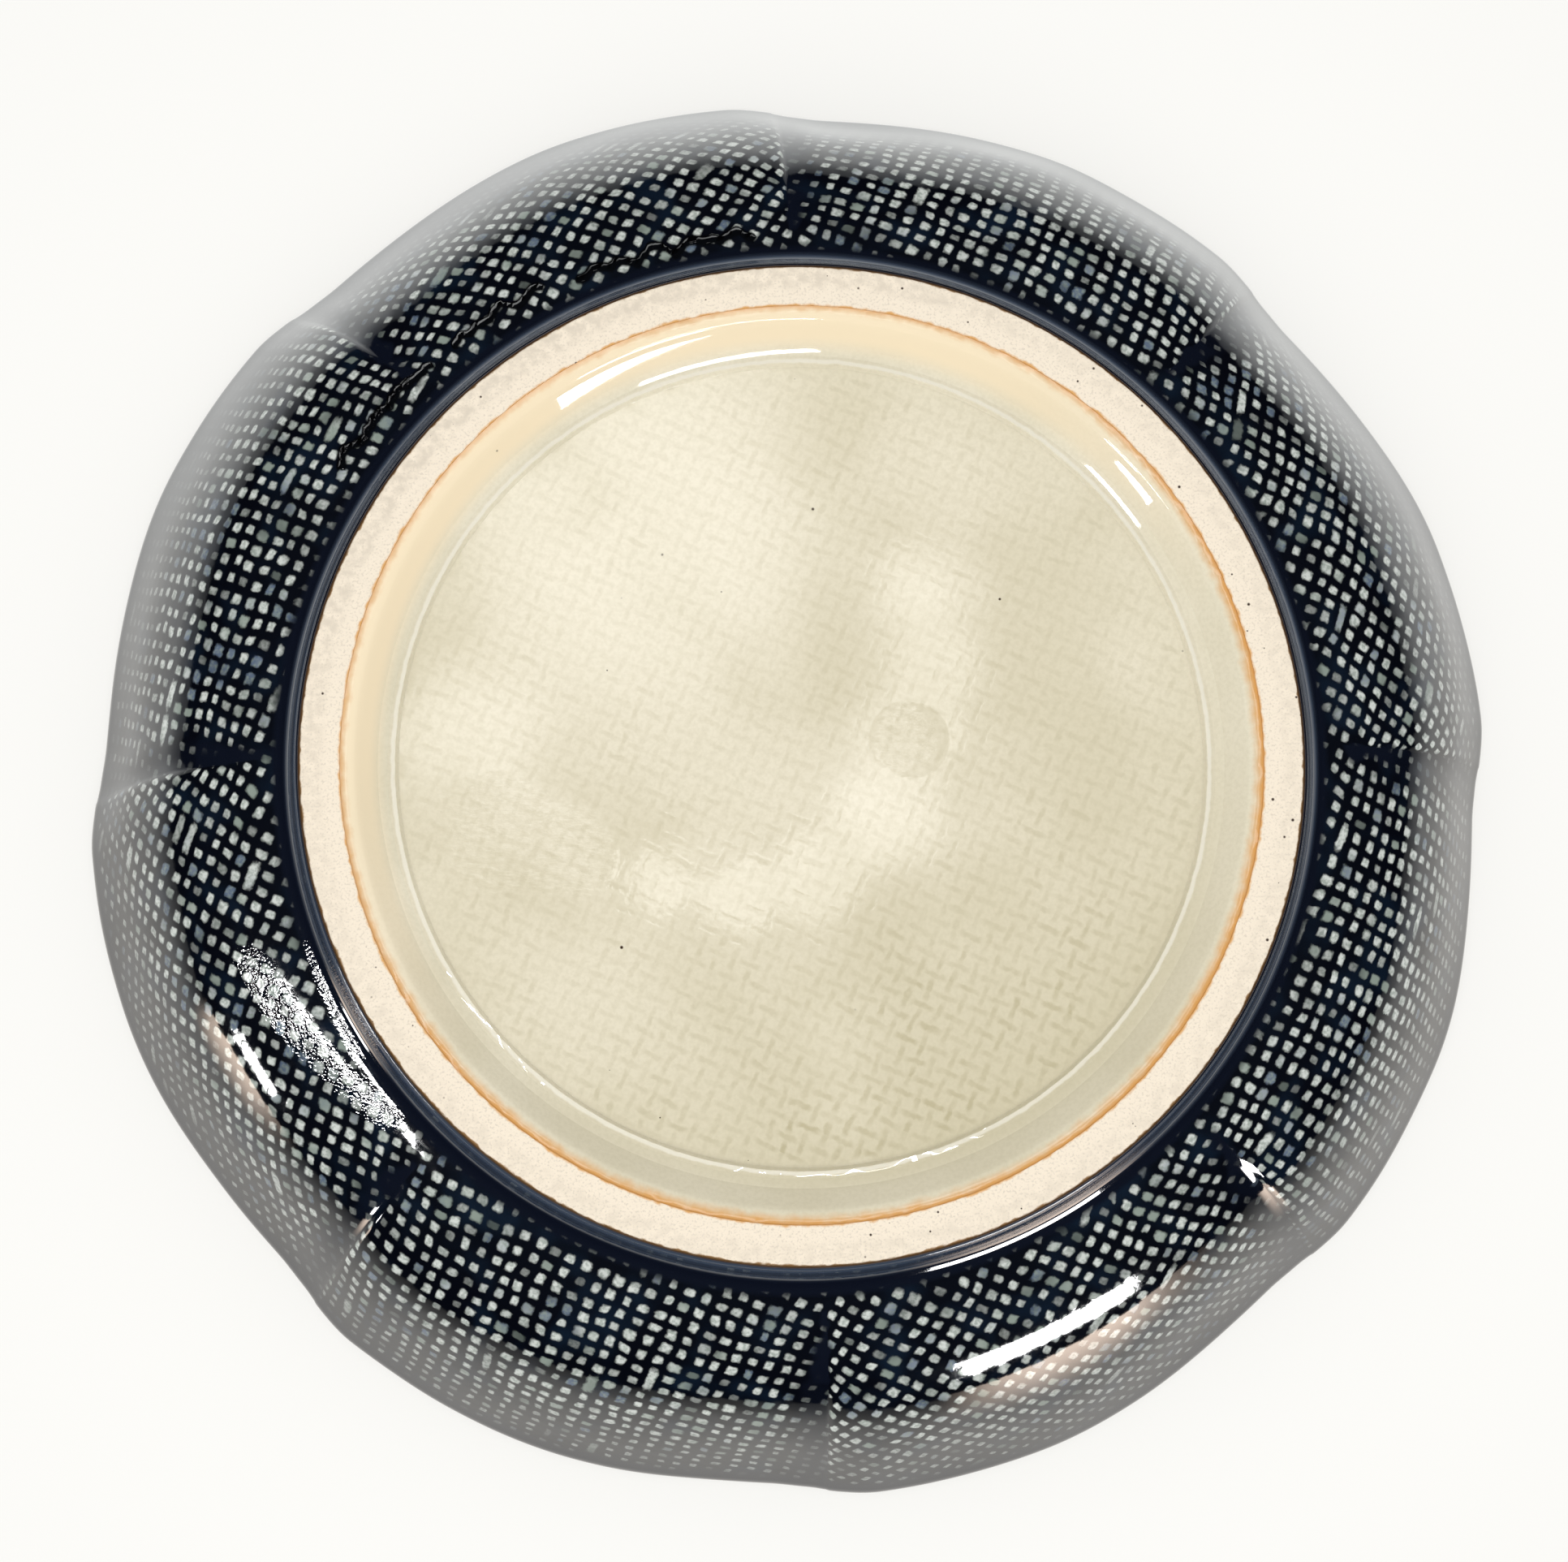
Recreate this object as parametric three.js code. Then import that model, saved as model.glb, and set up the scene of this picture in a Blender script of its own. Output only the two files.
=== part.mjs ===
// An eight-petalled stoneware bowl on a luted foot ring.
// Units are millimetres and +Z is up. The origin is the centre of the plane that the foot rests on.
import * as THREE from 'three';

const { degToRad, lerp, smoothstep } = THREE.MathUtils;

// Bowl body
const RIM_RADIUS = 89.3; // outside of the clay at the lip, on a petal's crest
const BOWL_HEIGHT = 37; // resting plane to the top of the glazed lip
const WELL_DEPTH = 4.6; // resting plane to the underside of the body
const FLOOR_THICKNESS = 5.2;
const LIP_THICKNESS = 3.4;
const LIP_SLOPE = degToRad(64); // of the outside at the lip, from level
const SPREAD = 31.2; // how far the outside runs nearly level before it turns up
const RISE = 18; // how far below the lip the outside starts to turn in

// Petals: at each crease the wall steps in, then comes slowly out again to the next crest
const CREASES = [41.4, 87.6, 134.2, 181.4, 225.4, 269, 312.8, 357.4].map(degToRad);
const PETAL_STEP = 1.75; // depth of a crease at the lip
const STEP_HALF = 0.1; // half the width of the step, as a share of a petal
const CREST_START = 0.6; // where the wall is fully out again, as a share of a petal

// Foot ring
const FOOT_RADIUS = 60.6; // outer edge of the foot, just above its worn edge
const BARE_WIDTH = 4.4; // resting face, left without glaze
const EDGE_WEAR = 0.4; // chamfer around the outside of the resting face
const COVE_WIDTH = 5.6; // slope inside the ring, from the bare face up to the base
const COVE_DEPTH = 1; // how far the slope is hollowed out
const FOOT_WALL = 2.6; // height of the upright part of the ring's outside
const FOOT_FLARE = degToRad(12); // lean of that upright part
const FILLET_REACH = 3.6; // spread of the fillet from the ring on to the bowl
const FEATHER = 0.2; // thickness left at the thin edges of the ring

// Luting slip
const SLIP_FILM = 0.4;
const BEAD_WIDTH = 1.2;
const BEAD_HEIGHT = 0.7;

// Glaze coats
const GLAZE = 0.45;
const GLAZE_STOP = 0.8; // height above the resting plane where the coats end
const FIT = 0.05; // clearance between a coat, the slip and the clay they lie on

// Facets
const COLUMNS = 8; // to a petal
const CROWD = 0.45; // how far the columns gather at the creases
const SEAT_ROWS = 2; // under the ring
const WALL_ROWS = 8; // from the ring to the lip
const CURVE_ROWS = 2; // along the fillet and the cove
const HALVINGS = 40; // of a range, when a place on the outside is searched for

const LEVEL = { r: 0, z: 0 };

// A point of a section: radius, height, and the way that the deepest part of a crease moves it
function at(r, z, dip = LEVEL) {
  return { r, z, dip };
}

// Outside of the clay, from the edge of the flat base to the lip
const coveRadius = FOOT_RADIUS - EDGE_WEAR - BARE_WIDTH;
const seatRadius = coveRadius - COVE_WIDTH;
const baseRadius = seatRadius - BEAD_WIDTH;
const filletRadius = FOOT_RADIUS + FILLET_REACH;
const lipHeight = BOWL_HEIGHT - FIT - GLAZE - (LIP_THICKNESS / 2) * (1 + Math.cos(LIP_SLOPE));
const outside = new THREE.CubicBezierCurve(
  new THREE.Vector2(baseRadius, WELL_DEPTH),
  new THREE.Vector2(baseRadius + SPREAD, WELL_DEPTH),
  new THREE.Vector2(RIM_RADIUS - RISE * Math.cos(LIP_SLOPE), lipHeight - RISE * Math.sin(LIP_SLOPE)),
  new THREE.Vector2(RIM_RADIUS, lipHeight),
);

// Share of the outside's length at which it reaches a radius
function shareAt(radius) {
  let low = 0;
  let high = 1;
  for (let halving = 0; halving < HALVINGS; halving += 1) {
    const middle = (low + high) / 2;
    if (outside.getPointAt(middle).x < radius) {
      low = middle;
    } else {
      high = middle;
    }
  }
  return low;
}

const seatShare = shareAt(seatRadius);
const filletShare = shareAt(filletRadius);

// A point of the wall at a share of its length, some depth into the clay
function wall(share, depth = 0) {
  const point = outside.getPointAt(share);
  const tangent = outside.getTangentAt(share);
  const normal = { r: tangent.y, z: -tangent.x };
  const climb = Math.max(0, share - filletShare) / (1 - filletShare);
  const lobe = Math.sin((climb * Math.PI) / 2);
  const dip = {
    r: -PETAL_STEP * lobe * (normal.r * (1 - lobe) + lobe),
    z: -PETAL_STEP * lobe * normal.z * (1 - lobe),
  };
  return at(point.x - normal.r * depth, point.y - normal.z * depth, dip);
}

function thickness(share) {
  return lerp(FLOOR_THICKNESS, LIP_THICKNESS, share);
}

// A point round the lip, by its turn from the outside over the crown to the inside
function lip(turn) {
  const middle = wall(1, LIP_THICKNESS / 2);
  const lean = LIP_SLOPE - Math.PI / 2 + turn;
  const reach = LIP_THICKNESS / 2;
  return at(middle.r + reach * Math.cos(lean), middle.z + reach * Math.sin(lean), middle.dip);
}

const crownTurn = Math.PI - LIP_SLOPE;

// Even steps from one number to another, with both ends
function steps(from, to, count) {
  return Array.from({ length: count + 1 }, (_, i) => lerp(from, to, i / count));
}

const seatShares = steps(seatShare, filletShare, SEAT_ROWS);
const wallShares = steps(filletShare, 1, WALL_ROWS);
const bodyShares = [0, ...seatShares, ...wallShares.slice(1)];

// A line set off from its clay, which lies to the left of the line's direction
function setOff(line, distance) {
  const normals = line.slice(1).map((point, i) => {
    const [dr, dz] = [point.r - line[i].r, point.z - line[i].z];
    const length = Math.hypot(dr, dz);
    return { r: dz / length, z: -dr / length };
  });
  return line.map((point, i) => {
    const before = normals[Math.max(i - 1, 0)];
    const after = normals[Math.min(i, normals.length - 1)];
    const scale = distance / (1 + before.r * after.r + before.z * after.z);
    return at(point.r + (before.r + after.r) * scale, point.z + (before.z + after.z) * scale, point.dip);
  });
}

// Points along a bend between two points, drawn towards a third
function bend(start, towards, end) {
  const curve = new THREE.QuadraticBezierCurve(
    new THREE.Vector2(start.r, start.z),
    new THREE.Vector2(towards.r, towards.z),
    new THREE.Vector2(end.r, end.z),
  );
  return curve.getPoints(CURVE_ROWS).map((point) => at(point.x, point.y));
}

// How far the wall is sunk at a share of a petal: a quick step in at its crease, then slowly out
function sink(share) {
  const stepIn = smoothstep(share, -STEP_HALF, STEP_HALF);
  const comeOut = smoothstep(share, STEP_HALF, CREST_START);
  const nextStep = smoothstep(share, 1 - STEP_HALF, 1 + STEP_HALF);
  return stepIn - comeOut + nextStep;
}

// Angle and sink of each column of vertices, gathered at the creases
const columns = CREASES.flatMap((crease, petal) => {
  const turn = petal + 1 < CREASES.length ? 0 : 2 * Math.PI;
  const next = CREASES[(petal + 1) % CREASES.length] + turn;
  return steps(0, 1, COLUMNS).slice(0, -1).map((even) => {
    const share = even - (CROWD * Math.sin(2 * Math.PI * even)) / (2 * Math.PI);
    return { angle: lerp(crease, next, share), sink: sink(share) };
  });
});

// Turns a section round the bowl's axis and sinks it into its creases.
// Every four-sided facet is split the same way up the wall, so that a coat's facets follow its clay's.
function revolve(section) {
  const rows = section.length;
  const vertices = columns.flatMap((column) => section.flatMap(({ r, z, dip }) => {
    const reach = r + dip.r * column.sink;
    return [reach * Math.cos(column.angle), reach * Math.sin(column.angle), z + dip.z * column.sink];
  }));
  const faces = columns.flatMap((_, i) => {
    const here = i * rows;
    const next = ((i + 1) % columns.length) * rows;
    return section.slice(1).flatMap((point, j) => {
      const [a, b, c, d] = [here + j, next + j, next + j + 1, here + j + 1];
      return point.z < section[j].z ? [a, b, c, a, c, d] : [a, b, d, c, d, b];
    });
  });
  const geometry = new THREE.BufferGeometry();
  geometry.setAttribute('position', new THREE.Float32BufferAttribute(vertices, 3));
  geometry.setIndex(faces);
  geometry.computeVertexNormals();
  return geometry;
}

function closed(loop) {
  return [...loop, loop[0]];
}

// Section of a glaze coat over a line of clay
function coat(line) {
  const back = setOff(line, FIT).reverse();
  const front = setOff(line, FIT + GLAZE);
  if (line[0].r === 0) {
    return [...front, ...back];
  }
  if (line.at(-1).r === 0) {
    return [...back, ...front];
  }
  return closed([...front, ...back]);
}

// Bowl body: underside, outside, lip and inside
const floorHeight = WELL_DEPTH + FLOOR_THICKNESS;
const insideLine = bodyShares.map((share) => wall(share, thickness(share))).reverse();
const bodySection = [
  at(0, WELL_DEPTH),
  ...bodyShares.map((share) => wall(share)),
  lip(crownTurn / 2),
  lip(crownTurn),
  lip((crownTurn + Math.PI) / 2),
  ...insideLine,
  at(0, floorHeight),
];

// Foot ring: bare face, worn edge, upright outside, fillet, seat under the bowl, and cove
const restInner = at(coveRadius, 0);
const restOuter = at(FOOT_RADIUS - EDGE_WEAR, 0);
const wearTop = at(FOOT_RADIUS, EDGE_WEAR);
const outsideAt = (height) => at(FOOT_RADIUS + (height - EDGE_WEAR) * Math.tan(FOOT_FLARE), height);
const filletStart = outsideAt(FOOT_WALL);
const filletEnd = wall(filletShare, -SLIP_FILM - FEATHER);
const filletCorner = outsideAt(filletEnd.z - FEATHER);
const filletLine = bend(filletStart, filletCorner, filletEnd);
const coveStart = wall(seatShare, -SLIP_FILM - FEATHER);
const coveEnd = at(coveRadius, GLAZE_STOP);
const coveCorner = at(
  (coveStart.r + coveEnd.r) / 2 + COVE_DEPTH,
  (coveStart.z + coveEnd.z) / 2 + COVE_DEPTH,
);
const coveLine = bend(coveStart, coveCorner, coveEnd);
const ringSeat = seatShares.map((share) => wall(share, -SLIP_FILM)).reverse();
const ringSection = closed([
  restInner,
  restOuter,
  wearTop,
  ...filletLine,
  ...ringSeat,
  ...coveLine,
]);

// Luting slip: a film over the seat, and a bead where it was squeezed out at the inner edge
const filmTop = [0, ...seatShares].map((share) => wall(share, -FIT)).reverse();
const filmBottom = seatShares.map((share) => wall(share, FIT - SLIP_FILM));
const beadOuter = at(coveStart.r - FIT, coveStart.z);
const beadCrown = at(baseRadius + BEAD_WIDTH / 2, WELL_DEPTH - BEAD_HEIGHT);
const filmInner = at(beadOuter.r, filmBottom[0].z);
const slipSection = closed([beadCrown, beadOuter, filmInner, ...filmBottom, ...filmTop]);

// Glaze coats
const outsideLine = [
  outsideAt(GLAZE_STOP),
  ...filletLine,
  ...wallShares.slice(1).map((share) => wall(share)),
  lip(crownTurn / 2),
  lip(crownTurn),
];
const lipGap = FIT / (LIP_THICKNESS / 2);
const bowlLine = [
  lip(crownTurn + lipGap),
  lip((crownTurn + Math.PI) / 2),
  ...insideLine,
  at(0, floorHeight),
];
const wellLine = [at(0, WELL_DEPTH), wall(0), beadCrown, ...coveLine];

const CLAY = { color: 0xd9cdb4, roughness: 0.85, metalness: 0 };
const SLIP = { color: 0xe4dcc4, roughness: 0.8, metalness: 0 };
const INDIGO = { color: 0x10182c, roughness: 0.12, metalness: 0 };
const CREAM = { color: 0xdfd8ba, roughness: 0.12, metalness: 0 };

const bowl = new THREE.Group();

function add(name, section, finish) {
  const mesh = new THREE.Mesh(revolve(section), new THREE.MeshStandardMaterial(finish));
  mesh.name = name;
  bowl.add(mesh);
}

add('bowl_body', bodySection, CLAY);
add('foot_ring', ringSection, CLAY);
add('luting_slip', slipSection, SLIP);
add('outside_glaze', coat(outsideLine), INDIGO);
add('inside_glaze', coat(bowlLine), CREAM);
add('foot_well_glaze', coat(wellLine), CREAM);

export default bowl;
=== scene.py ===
"""Dresses an eight-petalled stoneware bowl in its clay, slip and glazes, and lays it on a pale table."""

import math
from bisect import bisect_right
from dataclasses import dataclass, replace

import bmesh
import bpy
from bpy.props import FloatProperty, FloatVectorProperty, PointerProperty
from bpy.types import Operator, Panel, PropertyGroup
from mathutils import Matrix, Quaternion, Vector, noise
from mathutils.geometry import interpolate_bezier


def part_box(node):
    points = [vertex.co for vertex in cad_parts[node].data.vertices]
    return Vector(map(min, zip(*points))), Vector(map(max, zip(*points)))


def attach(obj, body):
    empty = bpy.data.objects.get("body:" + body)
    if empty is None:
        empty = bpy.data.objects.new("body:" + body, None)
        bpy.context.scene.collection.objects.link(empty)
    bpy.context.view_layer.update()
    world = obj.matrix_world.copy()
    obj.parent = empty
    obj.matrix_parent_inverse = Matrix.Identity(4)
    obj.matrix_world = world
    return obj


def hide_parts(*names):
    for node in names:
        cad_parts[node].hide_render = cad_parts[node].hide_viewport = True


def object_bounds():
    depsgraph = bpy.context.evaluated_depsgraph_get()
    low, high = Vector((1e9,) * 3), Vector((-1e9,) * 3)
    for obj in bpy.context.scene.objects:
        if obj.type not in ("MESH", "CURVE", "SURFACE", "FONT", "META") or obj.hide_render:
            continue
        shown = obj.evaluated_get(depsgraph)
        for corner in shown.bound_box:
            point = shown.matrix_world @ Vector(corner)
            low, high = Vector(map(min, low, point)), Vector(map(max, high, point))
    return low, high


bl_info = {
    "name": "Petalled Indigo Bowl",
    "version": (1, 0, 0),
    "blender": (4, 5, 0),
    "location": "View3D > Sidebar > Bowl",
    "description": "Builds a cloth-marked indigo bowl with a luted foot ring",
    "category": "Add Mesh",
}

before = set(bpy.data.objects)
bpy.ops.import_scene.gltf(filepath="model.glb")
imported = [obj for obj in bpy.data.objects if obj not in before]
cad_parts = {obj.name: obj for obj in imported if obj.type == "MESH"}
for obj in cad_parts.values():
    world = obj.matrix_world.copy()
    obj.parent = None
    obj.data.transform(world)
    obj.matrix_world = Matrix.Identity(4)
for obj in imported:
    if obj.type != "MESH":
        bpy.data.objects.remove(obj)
CAD_LOW, CAD_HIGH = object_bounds()

MM = 0.001
TURN = 2 * math.pi

# The creases between the petals, as angles round the bowl's axis
CREASES = [math.radians(angle) for angle in (41.4, 87.6, 134.2, 181.4, 225.4, 269.0, 312.8, 357.4)]
PETALS = len(CREASES)
PETAL_WIDTHS = [(CREASES[(i + 1) % PETALS] - CREASES[i]) % TURN for i in range(PETALS)]
PETAL_AXES = [crease + width / 2 for crease, width in zip(CREASES, PETAL_WIDTHS)]

# How far each crease has leaned round the bowl's axis by the time it reaches the lip
CREASE_LEANS = [math.radians(angle) for angle in (0.6, -0.3, -1.3, -2.6, -2.0, -0.6, 0.0, 0.8)]

# Light over the foot, as the base mirrors it: place on the base and reach in millimetres, share of the reach
# that is fully lit, and radiance
BASE_LIGHTS = (
    (-20, -29, 31, 0.2, 2.8),
    (-40, -4, 13, 0.2, 2.5),
    (14, -21, 8, 0.2, 3.3),
    (15, -12, 8, 0.3, 3.3),
    (13, -3, 8.5, 0.3, 3.3),
    (9, 7, 8, 0.4, 3.3),
    (2, 14, 7, 0.6, 3.3),
    (-8, 16, 6, 0.7, 3.3),
    (-17, 14.5, 4.8, 0.7, 4.0),
    (-13.5, 8.6, 5.5, 0.3, 0.05),
    (-33, 9, 8, 0.3, 0.05),
    (4, 33, 8, 0.1, 1.4),
    (5, 42, 7, 0.1, 1.2),
)

# Distance in millimetres that turns a place on the base into the direction that it mirrors
BASE_SEEN_FROM = 500

# Warm light over the low windows, for reflections: azimuth in degrees, half width, height where it ends,
# and radiance
SIDE_GLOWS = ((58, 0.3, 0.6, (7.5, 6.1, 5.1)), (154, 0.14, 0.4, (6.5, 5.3, 4.4)))

# Level directions: where shade is painted on the base, where the kiln flashed the clay and light is painted
# on the well's cove, and where the sheen painted as a reflection on the foot runs further out
SHADED_SIDE = (0.5, 0.87, 0.0)
KILN_SIDE = (-0.55, -0.84, 0.0)
PAINTED_SHEEN_SIDE = (0.35, -0.94, 0.0)

# Dents in the base: place, reach and depth, in millimetres
BASE_DENTS = ((-13, 8, 6, 0.006), (-33, 9, 8, 0.008), (17, -4, 5, -0.005), (6, 33, 10, -0.006))

# Places on the base where the glaze is wrinkled: place and reach in millimetres
BASE_WRINKLES = ((-37, 9, 9), (-29, 11, 7), (13, -3, 5))

# Points that a curve is measured on
CURVE_SAMPLES = 400

# Seed of the drift in the cloth's threads, which Blender would otherwise take from the clock
DRIFT_SEED = 8

# Bare folds, one for each crease: width, and where it starts and ends over the first row, in millimetres
FOLDS = (
    (3.4, 2.4, 9.5),
    (3.4, 1.6, 13.0),
    (3.6, 2.6, 9.5),
    (4.2, 0.8, 11.0),
    (2.5, 1.8, 13.0),
    (3.4, 2.0, 10.0),
    (2.9, 1.6, 11.0),
    (3.4, 2.0, 10.0),
)

# Strips where the glaze is pitted: middle and half length in degrees, then in millimetres the distance from
# the axis, its gain for each degree, and the half width
PITTED_PLACES = (
    (150, 13, 68.8, 0.25, 2.7),
    (153, 8, 63.9, 0.0, 0.7),
    (221, 9, 66, 0.0, 4.0),
    (335, 6, 66, 0.0, 4.0),
)

# Places where the glaze lies smooth over the marks: middle and half width, in degrees
CALM_PLACES = ((66, 26), (150, 26))

# Rolled edges of the glaze close to the foot: middle and half length in degrees, height over the first row
# in millimetres
ROLLED_EDGES = ((255, 12, 2.0), (236, 7, 3.3), (220, 9, 3.3))

# Heights in the relief of the indigo glaze, in depths of that relief
MARK_HEIGHT = 0.2
SEAM_HEIGHT = 9.0
PIT_HEIGHT = 3.2
GRAIN_HEIGHT = 0.12

# Heights in the relief of the pale glaze, in depths of that relief
PALE_GRAIN_HEIGHT = 0.06
THREAD_DEPTH = 0.12
WRINKLE_HEIGHT = 6.0

# Light under the foot as the glaze mirrors it, close to the level and straight below
DIM_LEVEL = (0.008, 0.008, 0.01)
DIM_BELOW = (0.025, 0.03, 0.04)

# Even light on matt surfaces, from below and from above, and the backdrop that the camera sees
EVEN_BELOW = (0.78, 0.78, 0.78)
EVEN_ABOVE = (0.38, 0.38, 0.38)
BACKDROP = (0.96, 0.95, 0.93)

# The sky as the glaze mirrors it, from the horizon up: its colours on the far (-Y) and the near (+Y) side,
# and the values of Y between which one turns into the other
SKY_GREY = ((0.25, 0.26, 0.265), (0.2, 0.197, 0.185), -0.5, 0.6)
SKY_WHITE = ((1.04, 1.06, 1.06), (0.75, 0.74, 0.705), -0.5, 0.6)
SKY_BRIGHT = ((1.31, 1.33, 1.31), (0.92, 0.895, 0.85), -0.7, 0.1)

# Height of that horizon at the sides, and its rise towards the near and the far side
HORIZON = 0.03
HORIZON_NEAR = 0.11
HORIZON_FAR = -0.02

# Floor and table: share of light that is scattered, glow near the bowl and far off, and the two distances
# from the axis between which that glow changes, in metres
FLOOR_LOOK = (0.7, (0.27, 0.68), (0.2, 2.5))
TABLE_LOOK = (0.3, (0.735, 0.705), (0.08, 0.16))

# Lamps: name, the one piece that mirrors it (none for a soft box), degrees round the axis, degrees above the
# level, degrees of roll, width and height in metres, and radiance
LAMPS = (
    ("window_right", "indigo_coat", 61, -11.5, 0, 0.46, 0.25, 24),
    ("window_left", "indigo_coat", 152, -38, 43, 0.46, 0.06, 60),
    ("window_low", "indigo_coat", 153, -7, 0, 0.12, 0.14, 24),
    ("window_well", "well_coat", 62, -12, 0, 0.5, 0.1, 30),
    ("window_well_edge", "well_coat", 62, -44, 0, 0.3, 0.26, 30),
    ("window_well_bead", "well_coat", 72, -63, 0, 0.3, 0.045, 40),
    ("window_well_side", "well_coat", 143, -14, 0, 0.16, 0.05, 30),
    ("window_well_side_edge", "well_coat", 140, -44, 0, 0.1, 0.26, 30),
    ("window_well_side_bead", "well_coat", 146, -63, 0, 0.13, 0.05, 40),
    ("window_open", "inside_coat", 300, 72, 0, 0.5, 0.34, 9),
    ("soft_box_foot", "", 105, -62, 0, 1.0, 1.0, 1.4),
    ("soft_box_open", "", 250, 55, 0, 1.0, 1.0, 2.7),
)

# Width of the frame in pixels, and of the camera's sensor in millimetres
PHOTO_WIDTH = 1932
SENSOR_WIDTH = 36.0


def linear(red, green, blue):
    """A colour as light, from its values on screen."""
    def light(value):
        value /= 255
        return value / 12.92 if value <= 0.04045 else ((value + 0.055) / 1.055) ** 2.4
    return light(red), light(green), light(blue)


def length(name, description, millimetres):
    return FloatProperty(name=name, description=description, default=millimetres * MM, unit="LENGTH")


def angle(name, description, degrees):
    return FloatProperty(name=name, description=description, default=math.radians(degrees), subtype="ANGLE")


def share(name, description, default):
    return FloatProperty(name=name, description=description, default=default, subtype="FACTOR")


def paint(name, description, red, green, blue):
    default = linear(red, green, blue)
    return FloatVectorProperty(name=name, description=description, default=default, subtype="COLOR")


def place(name, description, *millimetres):
    default = [value * MM for value in millimetres]
    return FloatVectorProperty(name=name, description=description, default=default, unit="LENGTH")


class BowlSizes(PropertyGroup):
    """Sizes of the clay and of the coats on it."""

    height: length("Height", "Resting plane to the top of the glazed lip", CAD_HIGH.z / MM)
    well_depth: length("Well depth", "Resting plane to the flat base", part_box("bowl_body")[0].z / MM)
    rim_radius: length("Rim radius", "Outside of the clay at the lip, on a petal's crest", 89.3)
    floor_thickness: length("Floor thickness", "Clay at the flat base", 5.2)
    lip_thickness: length("Lip thickness", "Clay at the lip", 3.4)
    lip_slope: angle("Lip slope", "Outside of the wall at the lip, from level", 64)
    spread: length("Spread", "How far the outside runs nearly level before it turns up", 31.2)
    rise: length("Rise", "How far below the lip the outside starts to turn in", 18)
    petal_step: length("Petal step", "Depth of a crease at the lip", 1.75)
    step_half: share("Step half", "Half the width of the step at a crease, of a petal", 0.1)
    crest_start: share("Crest start", "Where the wall is fully out again, of a petal", 0.6)
    foot_radius: length("Foot radius", "Outer edge of the foot, above its worn edge", 60.6)
    bare_width: length("Bare width", "Resting face that is left without glaze", 4.4)
    edge_wear: length("Edge wear", "Rounding of the resting face's outer edge", 0.4)
    cove_width: length("Cove width", "Slope inside the ring", 5.6)
    foot_wall: length("Foot wall", "Height of the upright part of the ring's outside", 2.6)
    foot_flare: angle("Foot flare", "Lean of that upright part", 12)
    fillet_reach: length("Fillet reach", "Spread of the fillet from the ring on to the bowl", 3.6)
    feather: length("Feather", "Clay left at the thin edges of the ring", 0.2)
    slip_film: length("Slip film", "Slip between the ring and the bowl", 0.4)
    bead_width: length("Bead width", "Slip squeezed out at the ring's inner edge", 1.2)
    bead_height: length("Bead height", "How far that slip stands up from the base", 0.7)
    glaze: length("Glaze", "Thickness of the coats", 0.45)
    glaze_stop: length("Glaze stop", "Height above the resting plane where the coats end", 0.8)
    fit: length("Fit", "Clearance between a coat, the slip and the clay", 0.05)
    rings_end: length("Rings end", "Distance from the axis where the rings on the foot end", 63.6)
    # The band of painted reflection on the foot, by distance from the axis
    sheen_start: length("Sheen start", "Distance from the axis where the foot's sheen starts", 61.1)
    sheen_end: length("Sheen end", "Distance from the axis where the foot's sheen ends", 63.2)
    sheen_shift: length("Sheen shift", "How far the sheen moves out on one side and in on the other", 0.5)

    @property
    def cove_radius(self):
        return self.foot_radius - self.edge_wear - self.bare_width

    @property
    def seat_radius(self):
        return self.cove_radius - self.cove_width

    @property
    def base_radius(self):
        return self.seat_radius - self.bead_width

    @property
    def bead_radius(self):
        return self.base_radius + self.bead_width / 2

    @property
    def coat(self):
        return self.fit + self.glaze


class ClothSizes(PropertyGroup):
    """The mark of the cloth that the clay was pressed with."""

    pitch: length("Pitch", "From thread to thread", 2.09)
    first_row: length("First row", "From the foot's outer edge to the first marks", 3.4)
    turn: angle("Turn", "Direction of the threads, round the axis", -66)
    drift: length("Drift", "How far the threads wander over a few rows", 0.55)
    drift_span: length("Drift span", "Length over which they wander", 11)
    shake: length("Shake", "How far the threads stray from row to row", 0.3)
    shake_span: length("Shake span", "Length over which they stray", 3.2)
    relief: length("Relief", "Height of the marks in the glaze", 0.035)
    swell: length("Swell", "Uneven swelling of the wall", 0.16)
    swell_span: length("Swell span", "Length of that swelling", 14)
    groove: length("Groove", "Depth of the fold at a crease", 0.3)
    sag: length("Sag", "How far the rows hang down towards a crease", 2.4)
    sag_reach: length("Sag reach", "How far from a crease they hang", 7)
    gather: length("Gather", "Cloth drawn in at the ridge beside a crease", 1.1)
    gather_reach: length("Gather reach", "How far from the crease it is drawn in", 1.6)


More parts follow.
